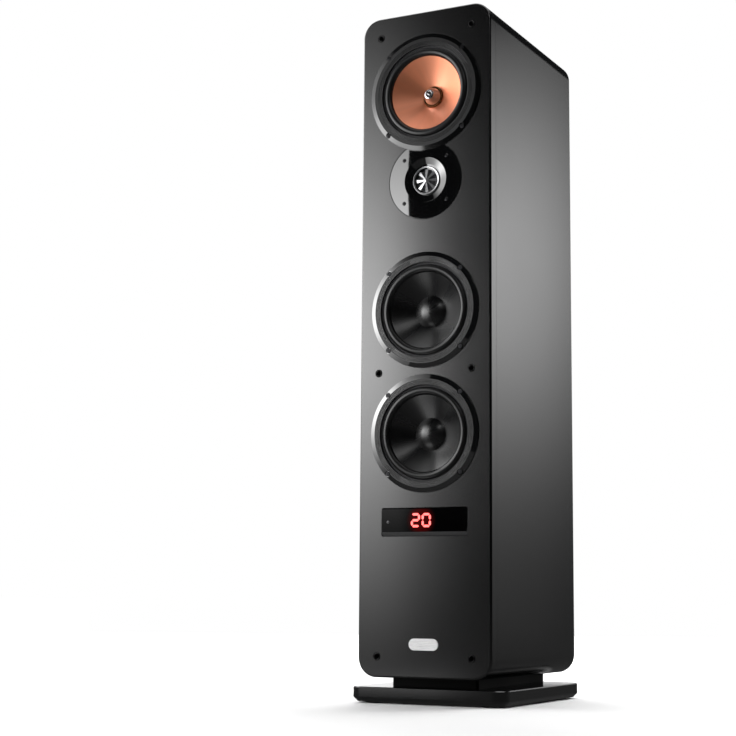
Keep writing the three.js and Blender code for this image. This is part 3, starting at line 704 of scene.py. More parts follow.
def base():
    chamfer, upper = 6.5, 1.3
    plate = flat_plate(
        "base_plate", 20,
        lambda z: [(chamfer, z, 0.5), (0, z + chamfer, 1.2)],
        lambda z: [(0, z - upper, 0.25), (upper, z, 0.25)],
    )
    feet = [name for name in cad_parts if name.startswith("foot_")]
    pockets = []
    for name in feet:
        at = middle(name)
        pocket = rod(size(name).x / 2 + 0.3, -2, box(name)[1].z + 0.3, FEW_SIDES)
        pockets.append(placed(placed(pocket, turn=(90, "X")), at.x, at.y))
    make("base_board", cut(plate, *pockets), LACQUER, "black_lacquer", "base_plate")
    sunk = 0.25
    block = flat_plate(
        "plinth_block", 4, lambda z: [(0, z - sunk, 0.4)], lambda z: [(0, z + sunk, 0.4)]
    )
    make("plinth", block, PLINTH_BLACK, "black_lacquer", "plinth_block")
    for name in feet:
        rubber_foot(name)


def rubber_foot(name):
    """A disc with three grooves in its underside."""
    low, high = box(name)
    radius = (high.x - low.x) / 2
    groove = [
        point
        for ring in (5, 9, 13)
        for point in ((ring - 0.7, low.z), (ring, low.z + 0.6), (ring + 0.7, low.z))
    ]
    profile = [(0, low.z), *groove, (radius, low.z, 1), (radius, high.z, 0.5), (0, high.z)]
    at = middle(name)
    disc = placed(soft_spun(profile, 0.2, FEW_SIDES), turn=(90, "X"))
    make(name + "_pad", placed(disc, at.x, at.y), FOOT_RUBBER, "rubber", name)


# ---- Fasteners ----


def screw_shape(head, depth):
    """A screw head with a hexagon socket, its top at y 0 and its shank behind."""
    key = 0.42 * head
    side = math.pi / 3

    def hexagon(radius, y, angle):
        if radius > key + ON_AXIS or y > depth:
            return radius
        return radius / math.cos((angle + side / 2) % side - side / 2)

    profile = [
        (0, 0.75 * depth), (key, 0.75 * depth), (key, 0.12), (key + 0.15, 0), (0.8 * head, 0),
        (0.93 * head, 0.12), (head, 0.4), (0.55 * head, depth + 0.01), (0.5 * head, depth + 3),
        (0, depth + 3),
    ]
    return spun(profile, 48, hexagon)


def screws(name, places, y, head, depth, facing=1):
    """Numbered screws at (x, z) places, which face the front, or the back where facing is -1."""
    for number, (x, z) in enumerate(places, 1):
        shape = screw_shape(head, depth)
        if facing < 0:
            placed(shape, turn=(180, "Z"))
        make(f"{name}_{number}", placed(shape, x, y, z), DARK_SCREW, "black_metal")


# ---- Cone drivers ----


def ring_screw_places(radius):
    reach = (radius - SCREW_INSET) * math.sqrt(0.5)
    return [(side * reach, up * reach) for up in (1, -1) for side in (-1, 1)]


def trim_ring(driver, z, radius):
    """A flat satin band inside a glossy bevel, with pockets for its screws."""
    inner, front, seat = DRIVER["ring_inner"], DRIVER["ring_front"], -TOUCH
    band_edge, bevel_end = radius - DRIVER["bevel"], front + DRIVER["bevel_depth"]
    grooves = [
        (reach + shift, front + sunk, 0.1)
        for reach in (inner + 2.2, inner + 4.2, inner + 6.2)
        for shift, sunk in ((0, 0), (0.35, 0.3), (0.7, 0))
    ]
    ring = soft_spun([
        (inner, seat), (inner, front, 0.6), *grooves, (band_edge, front, 0.35), (radius, bevel_end, 0.4),
        (radius, seat),
    ], steps=6)
    places = ring_screw_places(radius)
    pockets = [placed(rod(4.4, front - 2, -0.9, FEW_SIDES), x, 0, up) for x, up in places]
    rim = SOFT_RIM if driver == "midrange" else RIM
    piece = build(driver + "_ring", placed(cut(ring, *pockets), y=FRONT, z=z), rim, BAND)

    def banded(at, normal):
        flat = normal.y < -0.999 and at.y < FRONT + front + 0.2
        reach = math.hypot(at.x, at.z - z)
        return int(flat and reach < band_edge or reach < inner + 2)

    paint(piece, banded)
    settle(piece, "root", "gloss_black", driver + "_trim_ring")
    places = [(x, z + up) for x, up in places]
    screws(driver + "_screw", places, FRONT + front + 1.4, head=3.6, depth=1.2)


def basket(driver, z):
    """A cast frame: a wall behind the flange, a cone of eight windows and a seat for the motor."""
    d = DRIVER
    pole_gap, windows = 18, 8
    profile = [
        (d["wall_inner"], 0.3), (d["wall_inner"], d["wall_depth"]), (d["ledge_outer"], d["ledge_depth"]),
        (d["ledge_inner"], d["ledge_depth"]), (d["ledge_inner"], d["seat_depth"]),
        (pole_gap, d["seat_depth"]), (pole_gap, d["seat_back"]), (d["seat"], d["seat_back"]),
        (d["seat"], d["ledge_depth"] + 1.2), (d["wall_outer"], d["wall_depth"]), (d["wall_outer"], 4),
        (d["flange"], 4), (d["flange"], 0.3),
    ]
    tools = []
    for number in range(windows):
        outline = rectangle(17, 26, 3, 4)
        opening = outline_prism(outline, d["wall_depth"] + 1.5, d["ledge_depth"] - 1.5)
        placed(opening, z=d["ledge_outer"] + 15)
        tools.append(placed(opening, turn=(360 * (number + 0.5) / windows, "Y")))
    shape = cut(soft_spun(profile, 0.7, steps=3), *tools)
    make(driver + "_frame", placed(shape, y=FRONT, z=z), CAST, "satin_plastic", driver + "_basket")


def surround(driver, z):
    """A half roll of rubber between two flat feet."""
    d = DRIVER
    inner, outer, thick, rise = d["rim"] - 1.2, d["ring_inner"] - 0.3, 0.7, 4.3
    inner_foot, outer_foot, base_line = 3.4, 0.9, 1.1
    steps = 20

    def roll(shrink):
        points = []
        for i in range(steps + 1):
            turn = math.pi * i / steps
            radius = d["roll_middle"] - (d["roll"] - shrink) * math.cos(turn)
            points.append((radius, base_line - (rise - shrink) * math.sin(turn)))
        return points

    top = [(inner, inner_foot), *roll(0), (outer, outer_foot)]
    under = [(outer, outer_foot + thick), *reversed(roll(thick)), (inner, inner_foot + thick)]
    shape = placed(spun(top + under), y=FRONT, z=z)
    piece = build(driver + "_roll", shape, RUBBER, sharp=50)
    radial_blend(piece)
    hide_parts(driver + "_surround")


def cone_line(offset=0.0):
    """The cone's slightly bowed slope from its rim to its neck."""
    d = DRIVER
    bow, steps = 1.1, 14
    start = d["rim_depth"] - 1.4
    points = []
    for i in range(steps + 1):
        share = i / steps
        radius = d["rim"] + (d["neck"] - d["rim"]) * share
        depth = start + (d["neck_depth"] - start) * share
        points.append((radius, depth + bow * math.sin(math.pi * share) + offset))
    return points


def cone(driver, z, body, material, slot):
    thick = 1.1
    shape = placed(spun([*cone_line(), *reversed(cone_line(thick))]), y=FRONT, z=z)
    make(driver + "_diaphragm", shape, material, slot, driver + "_cone", body=body, sharp=50)


def dust_cap(driver, z, body, material):
    """A shallow dome over the cone's neck."""
    d = DRIVER
    slope = (d["neck_depth"] - d["rim_depth"]) / (d["rim"] - d["neck"])
    edge = d["rim_depth"] + slope * (d["rim"] - d["cap"]) - 1.2
    sphere = (d["cap"] ** 2 + d["cap_rise"] ** 2) / (2 * d["cap_rise"])
    reach = math.asin(d["cap"] / sphere)
    crest = edge - d["cap_rise"] + sphere
    steps, thick, lip = 18, 0.8, d["cap"] + 0.9

    def dome(radius):
        turns = [reach * i / steps for i in range(steps + 1)]
        return [(radius * math.sin(turn), crest - radius * math.cos(turn)) for turn in turns]

    profile = [*dome(sphere), (lip, edge + 0.6), (lip, edge + 1.3), *reversed(dome(sphere - thick))]
    shape = placed(spun(profile), y=FRONT, z=z)
    make(driver + "_cap", shape, material, "black_cone", driver + "_dust_cap", body=body)


def voice_coil(driver, z, body):
    """A thin former with wire wound on the end that is in the motor's gap."""
    d = DRIVER
    turns, pitch, winding_length, thick = 34, 0.5, 20, 0.35
    inner, back = d["coil_inner"], d["coil_back"]
    profile = [(inner, d["coil_front"]), (inner, back), (inner + thick, back)]
    for i in range(turns):
        y = back - 1 - i * pitch
        profile += [(d["coil_outer"] - 0.15, y), (d["coil_outer"], y - pitch / 2)]
    profile += [(inner + thick, back - winding_length), (inner + thick, d["coil_front"])]
    shape = placed(spun(profile), y=FRONT, z=z)
    make(driver + "_coil", shape, COIL_WIRE, "copper_wire", driver + "_voice_coil", body=body)


def spider(driver, z):
    """The corrugated cloth disc that centres the voice coil."""
    low, high = box(driver + "_spider")
    inner, outer = DRIVER["coil_outer"] + 0.3, (high.x - low.x) / 2
    thick, folds, steps = 0.5, 4.5, 72
    height = high.y - low.y - thick
    wave = []
    for i in range(steps + 1):
        share = i / steps
        rise = 0.5 - 0.5 * math.cos(2 * math.pi * folds * share) if 0.04 < share < 0.96 else 0
        wave.append((inner + (outer - inner) * share, high.y - thick - height * rise))
    under = [(radius, y + thick) for radius, y in reversed(wave)]
    piece = build(driver + "_suspension", placed(spun(wave + under), z=z), SPIDER_CLOTH, sharp=60)
    radial_blend(piece)
    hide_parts(driver + "_spider")


def motor(driver, z):
    """Two rings and a yoke: the top plate, the magnet, and the back plate with its pole."""
    for part, inner, edge, material, slot in (
        ("top_plate", 16.6, 0.8, STEEL, "bare_steel"),
        ("magnet", 25, 1.4, FERRITE, "ferrite"),
    ):
        name = f"{driver}_{part}"
        low, high = box(name)
        outer = (high.x - low.x) / 2
        profile = [(inner, low.y, 0.4), (inner, high.y, 0.4), (outer, high.y, edge), (outer, low.y, edge)]
        make(name + "_ring", placed(soft_spun(profile), z=z), material, slot, name)
    low, high = box(driver + "_yoke")
    plate, pole, hollow = 6, 14.8, 6
    outer = (high.x - low.x) / 2
    profile = [
        (0, low.y), (pole - 1.2, low.y, 0.6), (pole, low.y + 1.6, 0.6), (pole, high.y - plate, 1.5),
        (outer, high.y - plate, 0.8), (outer, high.y, 1.6), (hollow + 1, high.y, 0.6),
        (hollow, high.y - 1, 0.5), (0, high.y - 1),
    ]
    shape = placed(soft_spun(profile), z=z)
    make(driver + "_pole", shape, STEEL, "bare_steel", driver + "_yoke")


def phase_plug(z):
    """The bullet on the midrange's pole, with a blind bore in its tip."""
    low, high = box("midrange_phase_plug")
    radius, bore, bore_depth = 14.3, 3.9, 12
    profile = [
        (0, low.y + bore_depth), (bore, low.y + bore_depth), (bore + 0.2, low.y + 1.2, 0.5),
        (5.2, low.y, 0.8), (7.4, low.y + 0.9, 1.2), (11.6, low.y + 7, 6), (radius, low.y + 15, 4),
        (radius, high.y, 0.5), (0, high.y),
    ]
    silver = turned("turned_silver", (0, 0, z), SILVER, 0.12, 1.0, lines=1500, depth=0.006)
    shape = placed(soft_spun(profile, steps=8), z=z)
    make("midrange_bullet", shape, silver, "silver_metal", "midrange_phase_plug")


def cone_drivers():
    for driver in CONE_DRIVERS:
        low, high = box(driver + "_trim_ring")
        z, radius = (low.z + high.z) / 2, (high.x - low.x) / 2
        body = driver + "_moving"
        trim_ring(driver, z, radius)
        basket(driver, z)
        surround(driver, z)
        voice_coil(driver, z, body)
        spider(driver, z)
        motor(driver, z)
        if driver == "midrange":
            coat = {"Coat_Weight": 1.0, "Coat_IOR": 1.7, "Coat_Roughness": 0.4}
            copper = turned("spun_copper", (0, 0, z), COPPER, 0.47, 0.88, depth=0.006, **coat)
            cone(driver, z, body, copper, "copper_cone")
            phase_plug(z)
        else:
            card_black = turned(driver + "_card", (0, 0, z), CARD, 0.28, 0.0, depth=0.006, IOR=1.65)
            cone(driver, z, body, card_black, "black_cone")
            dust_cap(driver, z, body, card_black)


# ---- Tweeter ----


def tweeter_plate(z):
    """A round plate with a dish in it, notched for the midrange's ring."""
    t = TWEETER
    collar, floor = 36, 8.5
    disc = soft_spun([
        (t["plate"], 0, 0.5), (t["plate"], t["thickness"]), (collar, t["thickness"]), (collar, floor),
        (t["throat"], floor), (t["throat"], t["depth"], 0.5), (25, 3.8, 8), (t["dish"], 0, 1.2),
    ])
    above = centre_line("midrange")[2] - z
    tools = [placed(rod(DRIVER["flange"] + 0.6, -2, 4), z=above)]
    across, up = TWEETER_SCREWS
    places = [(side * across, share * up) for side in (-1, 1) for share in (-1, 1)]
    pocket = [(0, -1), (3.1, -1), (3.1, 0.1), (2.7, 0.5), (2.7, 2), (0, 2)]
    tools += [placed(spun(pocket, FEW_SIDES), x, 0, dz) for x, dz in places]
    shape = placed(cut(disc, *tools), y=FRONT, z=z)
    make("tweeter_plate", shape, GLOSS, "gloss_black", "tweeter_faceplate")
    screws("tweeter_screw", [(x, z + dz) for x, dz in places], FRONT + 0.5, head=2.6, depth=1.2)


def tweeter_diffuser(z):
    """A hub, eight petals that widen outwards, and a rim."""
    petals, front, middle_y = 8, 1.9, 3.5
    ring = soft_spun([
        (19.2, front + 1.2), (21.4, front + 0.6), (22.6, front + 3.2), (19.6, front + 3.2),
    ], 0.5)
    hub = spun([
        (0, front), (2.4, front + 0.1), (3.9, front + 0.9), (4.2, front + 2.2), (0, front + 2.2),
    ], FEW_SIDES)
    side = [(0.9, 3), (1.3, 8), (2.1, 14), (2.6, 19.8)]
    outline = softened([(-0.9, 3), *side, *[(-x, up) for x, up in side[:0:-1]]], 0.6)
    blades = []
    for number in range(petals):
        blade = outline_prism(outline, front + 0.9, front + 2.4)
        placed(blade, y=-middle_y)
        placed(blade, turn=(PETAL_TWIST, "Z"))
        placed(blade, turn=(PETAL_PITCH, "X"))
        blades.append(placed(placed(blade, y=middle_y), turn=(360 * number / petals, "Y")))
    shape = placed(fused(ring, hub, *blades), y=FRONT, z=z)
    chrome = moulded("dark_chrome", (0.55, 0.55, 0.56), 0.32, grain=900, depth=0.002, metallic=1.0)
    make("tweeter_guard", shape, chrome, "silver_metal", "tweeter_diffuser")


def tweeter_dome(z):
    """A cloth dome with a small roll round it, on the former of its coil."""
    radius, crest, root, roll_middle = 12.5, 5.6, 9.3, 14.2
    steps, roll_steps = 12, 8
    dome = []
    for i in range(steps + 1):
        turn = math.pi / 2 * i / steps
        dome.append((radius * math.sin(turn), root - (root - crest) * math.cos(turn)))
    roll = []
    for i in range(1, roll_steps + 1):
        turn = math.pi * i / roll_steps
        roll.append((roll_middle - 1.7 * math.cos(turn), root - 0.9 * math.sin(turn)))
    former = [
        (16, root + 0.4), (radius, root + 0.5), (radius, 17), (radius - 0.4, 17),
        (radius - 0.4, root + 0.6),
    ]
    inside = [(0.96 * r, y + 0.4) for r, y in reversed(dome[:-1])]
    shape = placed(spun(dome + roll + former + inside), y=FRONT, z=z)
    body = "tweeter_moving"
    make("tweeter_membrane", shape, DOME_CLOTH, "dome_cloth", "tweeter_dome", body=body, sharp=50)


def tweeter_motor(z):
    """The magnet with its round gap for the coil, and the cup behind it."""
    coil, slot = 12.5, 0.6
    pole, gap = coil - 2 * slot, coil + slot
    low, high = box("tweeter_magnet")
    outer = (high.x - low.x) / 2
    profile = [
        (0, low.y + 1), (pole, low.y + 1, 0.5), (pole, high.y - 4), (gap, high.y - 4), (gap, low.y, 0.4),
        (outer, low.y, 0.8), (outer, high.y, 0.8), (0, high.y),
    ]
    make("tweeter_motor", placed(soft_spun(profile), z=z), STEEL, "bare_steel", "tweeter_magnet")
    low, high = box("tweeter_rear_cup")
    outer, wall = (high.x - low.x) / 2, 2.5
    profile = [
        (0, high.y), (outer, high.y, 3), (outer, low.y, 0.5), (outer - wall, low.y, 0.5),
        (outer - wall, high.y - wall, 2), (0, high.y - wall),
    ]
    make("tweeter_can", placed(soft_spun(profile), z=z), PLASTIC, "satin_plastic", "tweeter_rear_cup")


# ---- Display and badge ----


def tilted_tool(z, tilt, side):
    """A cutter that bevels the window: side 1 for the edge above z, -1 for the edge below it."""
    block = outline_prism([(-120, 0), (120, 0), (120, side * 60), (-120, side * 60)], -60, 0)
    return placed(placed(block, turn=(side * -tilt, "X")), 0, FRONT, z)


def display():
    """A gloss pane with bevels above and below, the lit digits, and the remote's eye."""
    low, high = box("display_window")
    centre = (low + high) / 2
    pane = placed(slab(high.x - low.x, high.z - low.z, 3, low.y, high.y, 0.4), z=centre.z)
    shape = cut(pane, tilted_tool(high.z - 1.7, 45, 1), tilted_tool(low.z + 6.5, 19, -1))
    lit = (-5, FRONT, centre.z + 2.5)
    pane = build("display_pane", shape, smoked_window(lit), GLOSS, PLASTIC)
    paint(pane, lambda at, normal: 0 if normal.y < -0.999 else 1 if at.z > centre.z - 12 else 2)
    settle(pane, "root", "smoked_window", "display_window")
    digits(lit[0], lit[2])
    sensor = spun([(0, -0.1), (2.2, -0.05), (2.6, 0.1), (2.6, 0.4), (0, 0.4)], FEW_SIDES)
    lens = moulded("sensor_lens", (0.05, 0.05, 0.052), 0.3, grain=900, depth=0.004)
    make("display_sensor", placed(sensor, -59, FRONT, centre.z), lens, "smoked_window")


# Which bars of a seven-bar digit are lit, as (across, up) from the digit's middle in half widths
# and half heights: across is 0 for a level bar.
BARS = {"top": (0, 1), "middle": (0, 0), "bottom": (0, -1), "top_left": (-1, 0.5),
        "top_right": (1, 0.5), "bottom_left": (-1, -0.5), "bottom_right": (1, -0.5)}
LIT = {
    "2": ("top", "top_right", "middle", "bottom_left", "bottom"),
    "0": ("top", "top_left", "top_right", "bottom_left", "bottom_right", "bottom"),
}


def digits(centre_x, centre_z):
    """The volume, as two lit seven-bar digits."""
    half_width, half_height, stroke, spacing, gap = 5.8, 8.6, 3.4, 17.5, 0.5
    side = stroke / 2
    led = lit_led()
    for number, figure in enumerate("20"):
        bars = []
        for bar in LIT[figure]:
            across, up = BARS[bar]
            length = 2 * half_width if across == 0 else half_height
            tip = length / 2 - gap
            outline = [
                (-tip, 0), (side - tip, -side), (tip - side, -side), (tip, 0), (tip - side, side),
                (side - tip, side),
            ]
            shape = outline_prism(outline, FRONT - 0.08, FRONT + 0.3)
            turn = (90, "Y") if across else None
            bars.append(placed(shape, across * half_width, 0, up * half_height, turn))
        x = centre_x + (number - 0.5) * spacing
        shape = placed(joined(*bars), x=x, z=centre_z)
        make(f"display_digit_{number + 1}", shape, led, "display_led")


def circuit(name, node_name, board, parts):
    """A board with its parts, which are all in front of it."""
    front = box(node_name)[0].y
    piece = build(name, joined(board, *parts), BOARD, CHIP)
    paint(piece, lambda at, normal: int(at.y < front - 0.05))
    settle(piece, "root", "circuit_board", node_name)


def display_board():
    low, high = box("display_board")
    z = middle("display_board").z
    board = slab(high.x - low.x, high.z - low.z, 1, low.y, high.y, 0.1, 0.1, steps=4)
    modules = []
    for column in range(6):
        block = slab(11, 17, 0.8, low.y - 3.4, low.y, 0.3, 0.1, steps=3)
        modules.append(placed(block, x=(column - 2.5) * 14, z=z))
    circuit("display_circuit", "display_board", placed(board, z=z), modules)


def badge():
    low, high = box("badge_plate")
    height = high.z - low.z
    shape = slab(high.x - low.x, height, height / 2 - 0.05, low.y, high.y + 0.25, 0.45, 0.1, steps=24)
    z = (low.z + high.z) / 2
    make("badge", placed(shape, z=z), BADGE_METAL, "silver_metal", "badge_plate")


# ---- Amplifier ----

AMP_FACE = box("amp_panel")[1].y
DISH_FLOOR = AMP_FACE - AMP["dish"]


def panel_tray():
    """Pressed sheet: a flange, sloping walls and a floor, with openings for what it carries."""
    low, high = box("amp_panel")
    sheet, flange, inside = AMP["sheet"], AMP["flange"], 40
    width, height, z = high.x - low.x, high.z - low.z, (low.z + high.z) / 2
    under = DISH_FLOOR - sheet
    profile = softened([
        (inside, under), (flange + 0.4, under, 2), (flange, AMP_FACE - sheet, 0.4),
        (0, AMP_FACE - sheet, 0.3), (0, AMP_FACE, 0.8), (flange + 1.5, AMP_FACE, 1.6),
        (flange + sheet, DISH_FLOOR, 1.6), (inside, DISH_FLOOR),
    ], 0, closed=False)
    tray = placed(lofted(width, height, AMP["corner"], profile[1:-1], steps=8, least=3), z=z)
    tools = []
    for name, clearance in (("mains_inlet", 0.3), ("power_rocker", 1.2)):
        part, at = size(name), middle(name)
        outline = rectangle(part.x + 2 * clearance, part.z + 2 * clearance, 1, 4)
        tool = outline_prism(outline, DISH_FLOOR - PAST, DISH_FLOOR + sheet)
        tools.append(placed(tool, at.x, 0, at.z))
    make("amp_tray", cut(tray, *tools), BLACK_PANEL, "black_metal", "amp_panel")
    across, up = width / 2 - flange / 2, height / 2 - flange / 2
    places = [(side * across, z + share * up) for side in (-1, 1) for share in (-1, -0.34, 0.34, 1)]
    places += [(0, z - up), (0, z + up)]
    screws("amp_screw", places, AMP_FACE + 0.3, head=3.1, depth=1.4, facing=-1)


def mains_inlet():
    """A lipped housing round a socket with three flat pins."""
    low, high = box("mains_inlet")
    centre = (low + high) / 2
    width, height = high.x - low.x, high.z - low.z
    body = slab(width, height, 2.2, low.y, high.y, 0.4, 1.2, steps=6)
    lip = slab(width + 5, height + 5, 3, DISH_FLOOR + TOUCH, high.y - 0.6, 0.2, 0.5, steps=6)
    outline = softened([(-12, -8), (12, -8), (12, 3.5), (7.5, 8), (-7.5, 8), (-12, 3.5)], 1.2)
    socket = outline_prism(outline, high.y - 13, high.y + PAST)
    places = [(7 * side, 1.5 - 3 * abs(side)) for side in (-1, 0, 1)]
    pins = []
    for x, z in places:
        pins.append(placed(slab(2, 4, 0.4, high.y - 14, high.y - 6.5, 0.1, 0.6, steps=3), x=x, z=z))
    housing = cut(fused(body, lip), socket)
    shape = placed(joined(housing, *pins), x=centre.x, z=centre.z)
    piece = build("mains_socket", shape, FITTING, STEEL)

    def on_pin(at, normal):
        x, z = at.x - centre.x, at.z - centre.z
        near = any(abs(x - px) < 1.2 and abs(z - pz) < 2.2 for px, pz in places)
        return int(near and at.y < high.y - 6)

    paint(piece, on_pin)
    settle(piece, "root", "satin_plastic", "mains_inlet")


def power_rocker():
    """A key with a bent face, tilted to its off side, in a frame."""
    x = middle("power_rocker").x
    thick, height, width, tilt, axle_z = 7, 20, 13, -8, 185
    line = softened([
        (-thick / 2, -height / 2, 0.4), (-thick / 2, height / 2, 0.4), (thick / 2, height / 2, 1),
        (thick / 2 - 1.5, 0, 20), (thick / 2, -height / 2, 1),
    ], 0, steps=6)
    sections = ((-width / 2, 0.94), (-width / 2 + 0.5, 1), (width / 2 - 0.5, 1), (width / 2, 0.94))
    shape = skinned([[(across, shrink * y, shrink * z) for y, z in line] for across, shrink in sections])
    key = placed(shape, x, DISH_FLOOR, axle_z, turn=(tilt, "X"))
    make("power_key", key, FITTING, "satin_plastic", "power_rocker", body="power_rocker")
    back, front = DISH_FLOOR + TOUCH, DISH_FLOOR + 1.2
    profile = softened([(0, back), (0, front, 0.5), (1.6, front, 0.3), (1.6, back)], 0)
    rim = lofted(width + 5, height + 5, 2.5, profile, closed=True, steps=6)
    make("rocker_frame", placed(rim, x, 0, axle_z), FITTING, "satin_plastic")


def input_jacks():
    """Four jacks on a plate, each a gilt barrel in a coloured ring."""
    low, high = box("input_jack_strip")
    centre = (low + high) / 2
    width, height = high.x - low.x, high.z - low.z
    face, bore = low.y + 2, 1.9
    strip = placed(slab(width, height, 2, low.y, face, 0.2, 0.6), centre.x, 0, centre.z)
    make("jack_plate", strip, FITTING, "satin_plastic", "input_jack_strip")
    collar = [(3.3, face), (6.6, face), (6.6, face + 1.6, 0.5), (3.3, face + 1.6, 0.3)]
    barrel = [
        (bore, face + 0.2), (4.4, face + 0.2), (4.4, high.y - 0.4, 0.4), (3.6, high.y, 0.3),
        (bore, high.y, 0.2),
    ]
    for number in range(4):
        for part, profile, material, slot in (
            ("ring", collar, (WHITE_PLASTIC, RED_PLASTIC)[number % 2], "satin_plastic"),
            ("barrel", barrel, GOLD, "silver_metal"),
        ):
            shape = soft_spun(profile, sides=FEW_SIDES)
            place = placed(shape, (number - 1.5) * width / 4, 0, centre.z)
            make(f"jack_{part}_{number + 1}", place, material, slot)


def binding_post(colour, material, slot):
    """A fluted cap on a gilt stud, with a hole in its end for a plug."""
    name = "speaker_post_" + colour
    low, high = box(name)
    x, z, radius = (low.x + high.x) / 2, (low.z + high.z) / 2, (high.x - low.x) / 2
    flutes, hole = 18, 1.9

    def fluted(reach, y, angle):
        if reach < radius - 0.7 or not low.y + 1 < y < high.y - 1:
            return reach
        return reach - 0.35 * (1 + math.cos(flutes * angle)) / 2

    cap = soft_spun([
        (hole, high.y - 5), (hole + 0.2, high.y, 0.3), (4.6, high.y, 0.4), (5.2, high.y - 0.9, 0.4),
        (radius, high.y - 1.6, 0.5), (radius, low.y + 1.6, 0.4), (radius - 0.8, low.y, 0.4),
        (2.9, low.y, 0.3), (2.9, high.y - 5),
    ], sides=144, shape=fluted)
    make(colour + "_post_cap", placed(cap, x, 0, z), material, slot, name, body=name)
    start, end = low.y - 3, high.y - 5.4
    stud = soft_spun([(0, start), (2.4, start), (2.4, end, 0.3), (0, end)], sides=FEW_SIDES)
    make(colour + "_post_stud", placed(stud, x, 0, z), GOLD, "silver_metal")
    start, end = DISH_FLOOR + TOUCH, DISH_FLOOR + 1.1
    washer = soft_spun([(2.6, start), (8.2, start), (8.2, end, 0.4), (2.6, end, 0.2)], sides=FEW_SIDES)
    make(colour + "_post_washer", placed(washer, x, 0, z), FITTING, "satin_plastic")


def heat_sink():
    """An extrusion: a floor with seven fins."""
    low, high = box("amp_heat_sink")
    fins, fin, floor = 7, 2, 3
    pitch = (high.x - low.x - fin) / (fins - 1)
    outline = [(low.x, low.y), (high.x, low.y)]
    for number in reversed(range(fins)):
        left = low.x + number * pitch
        outline += [(left + fin, high.y, 0.5), (left, high.y, 0.5)]
        if number:
            outline += [(left, low.y + floor, 0.5), (left - pitch + fin, low.y + floor, 0.5)]
    line = softened(outline, 0, steps=3)
    shape = skinned([[(x, y, z) for x, y in line] for z in (low.z, high.z)])
    make("amp_cooler", shape, ALLOY, "bare_steel", "amp_heat_sink")


def amp_board():
    """A board with eight capacitors and six chips."""
    low, high = box("amp_board")
    z = (low.z + high.z) / 2
    board = placed(slab(high.x - low.x, high.z - low.z, 2, low.y, high.y, 0.1, 0.1, steps=4), z=z)
    can = [
        (0, low.y - 22), (7, low.y - 22, 1.2), (7, low.y - 2.5, 0.8), (6.6, low.y - 1.5, 0.4),
        (7, low.y - 0.8, 0.3), (7, low.y), (0, low.y),
    ]
    parts = [placed(soft_spun(can, sides=32), x, 0, z + up) for x in (-50, -32, 32, 50) for up in (-60, -40)]
    for x in (-30, 0, 30):
        for up in (10, 45):
            chip = slab(14, 14, 0.5, low.y - 3, low.y, 0.4, 0.1, steps=3)
            parts.append(placed(chip, x=x, z=z + up))
    circuit("amp_circuit", "amp_board", board, parts)


def transformer():
    """A toroid: wraps of wire over the core."""
    low, high = box("mains_transformer")
    centre = (low + high) / 2
    outer, inner, half = (high.x - low.x) / 2, 14, (high.z - low.z) / 2
    wraps = 90

    def wrapped(radius, y, angle):
        swell = 0.4 * (1 + math.cos(wraps * angle)) / 2
        return radius - swell if radius > (outer + inner) / 2 else radius + swell

    profile = [(inner, -half, 9), (inner, half, 9), (outer, half, 12), (outer, -half, 12)]
    toroid = placed(soft_spun(profile, sides=360, shape=wrapped, steps=8), turn=(90, "X"))
    wire = turned("toroid_wire", (0, 0, 0), (0.70, 0.30, 0.13), 0.32, 0.85, lines=900, depth=0.05)
    make("toroid", placed(toroid, *centre), wire, "copper_wire", "mains_transformer", sharp=60)


def amplifier():
    panel_tray()
    mains_inlet()
    power_rocker()
    input_jacks()
    binding_post("red", RED_PLASTIC, "red_plastic")
    binding_post("black", FITTING, "satin_plastic")
    heat_sink()
    amp_board()
    transformer()


# ---- Studio ----

# The camera stands low, to the speaker's right, and looks a little upwards.
CAMERA = {
    "place": (1.0287, -2.3100, 0.1553), "azimuth": 27.65, "pitch": 8.046, "roll": -0.493, "lens": 79.10,
}
# How far out the floor starts to glow, where it is white, and where it ends.
FLOOR = {"clear": 0.8, "white": 2.2, "reach": 40}
# Each panel of light stands from one (x, y) to another and has patches of light in it, as
# (how far from its start, half its width, how high, half its height, power).
PANELS = {
    "key_softbox": {
        "start": (-0.66, -1.447), "end": (-1.475, -0.197), "top": 1.95,
        "patches": [
            (0.05, 0.45, 0.785, 0.40, 5.6), (0.76, 0.2, 0.80, 0.32, 6.0), (1.35, 0.3, 1.5, 0.45, 6.5),
        ],
    },
    "side_softbox": {
        "start": (2.05, 1.72), "end": (0.92, 2.33), "top": 1.95,
        "patches": [(0.6, 3.0, 1.2, 0.47, 2.0), (0.6, 1.0, 0.05, 0.35, 0.12)],
    },
    "rear_softbox": {
        "start": (0.4, 2.5), "end": (-1.9, 1.2), "top": 1.95,
        "patches": [(0.5, 0.4, 0.8, 0.5, 1.3), (1.8, 0.8, 0.8, 0.6, 3.0)],
    },
    "wall_softbox": {
        "start": (-1.6, -0.9), "end": (-1.6, 0.9), "top": 2.6,
        "patches": [(0.85, 0.45, 1.35, 0.5, 7.0)],
    },
    "fill_softbox": {
        "start": (1.2, -2.7), "end": (2.7, -1.2), "top": 3.6,
        "patches": [(0.3, 0.6, 2.8, 0.5, 2.4)],
    },
}
# Each card lies level, and only shows in reflections.
CARDS = {
    "card_above": {"place": (-0.1, 0.35, 2.5), "across": 2.4, "deep": 2.4, "power": 1.5},
    "card_below": {"place": (-0.26, -0.49, 0.004), "across": 0.34, "deep": 0.22, "power": 1.4},
    "card_around": {"place": (0, 0, 0.002), "across": 6, "deep": 6, "power": 0.075},
    "card_left": {"place": (-1.5, 0.7, 0.003), "across": 1.6, "deep": 2.2, "power": 0.5},
    "card_right": {"place": (1.9, 1.3, 0.003), "across": 1.4, "deep": 1.6, "power": 0.2},
}


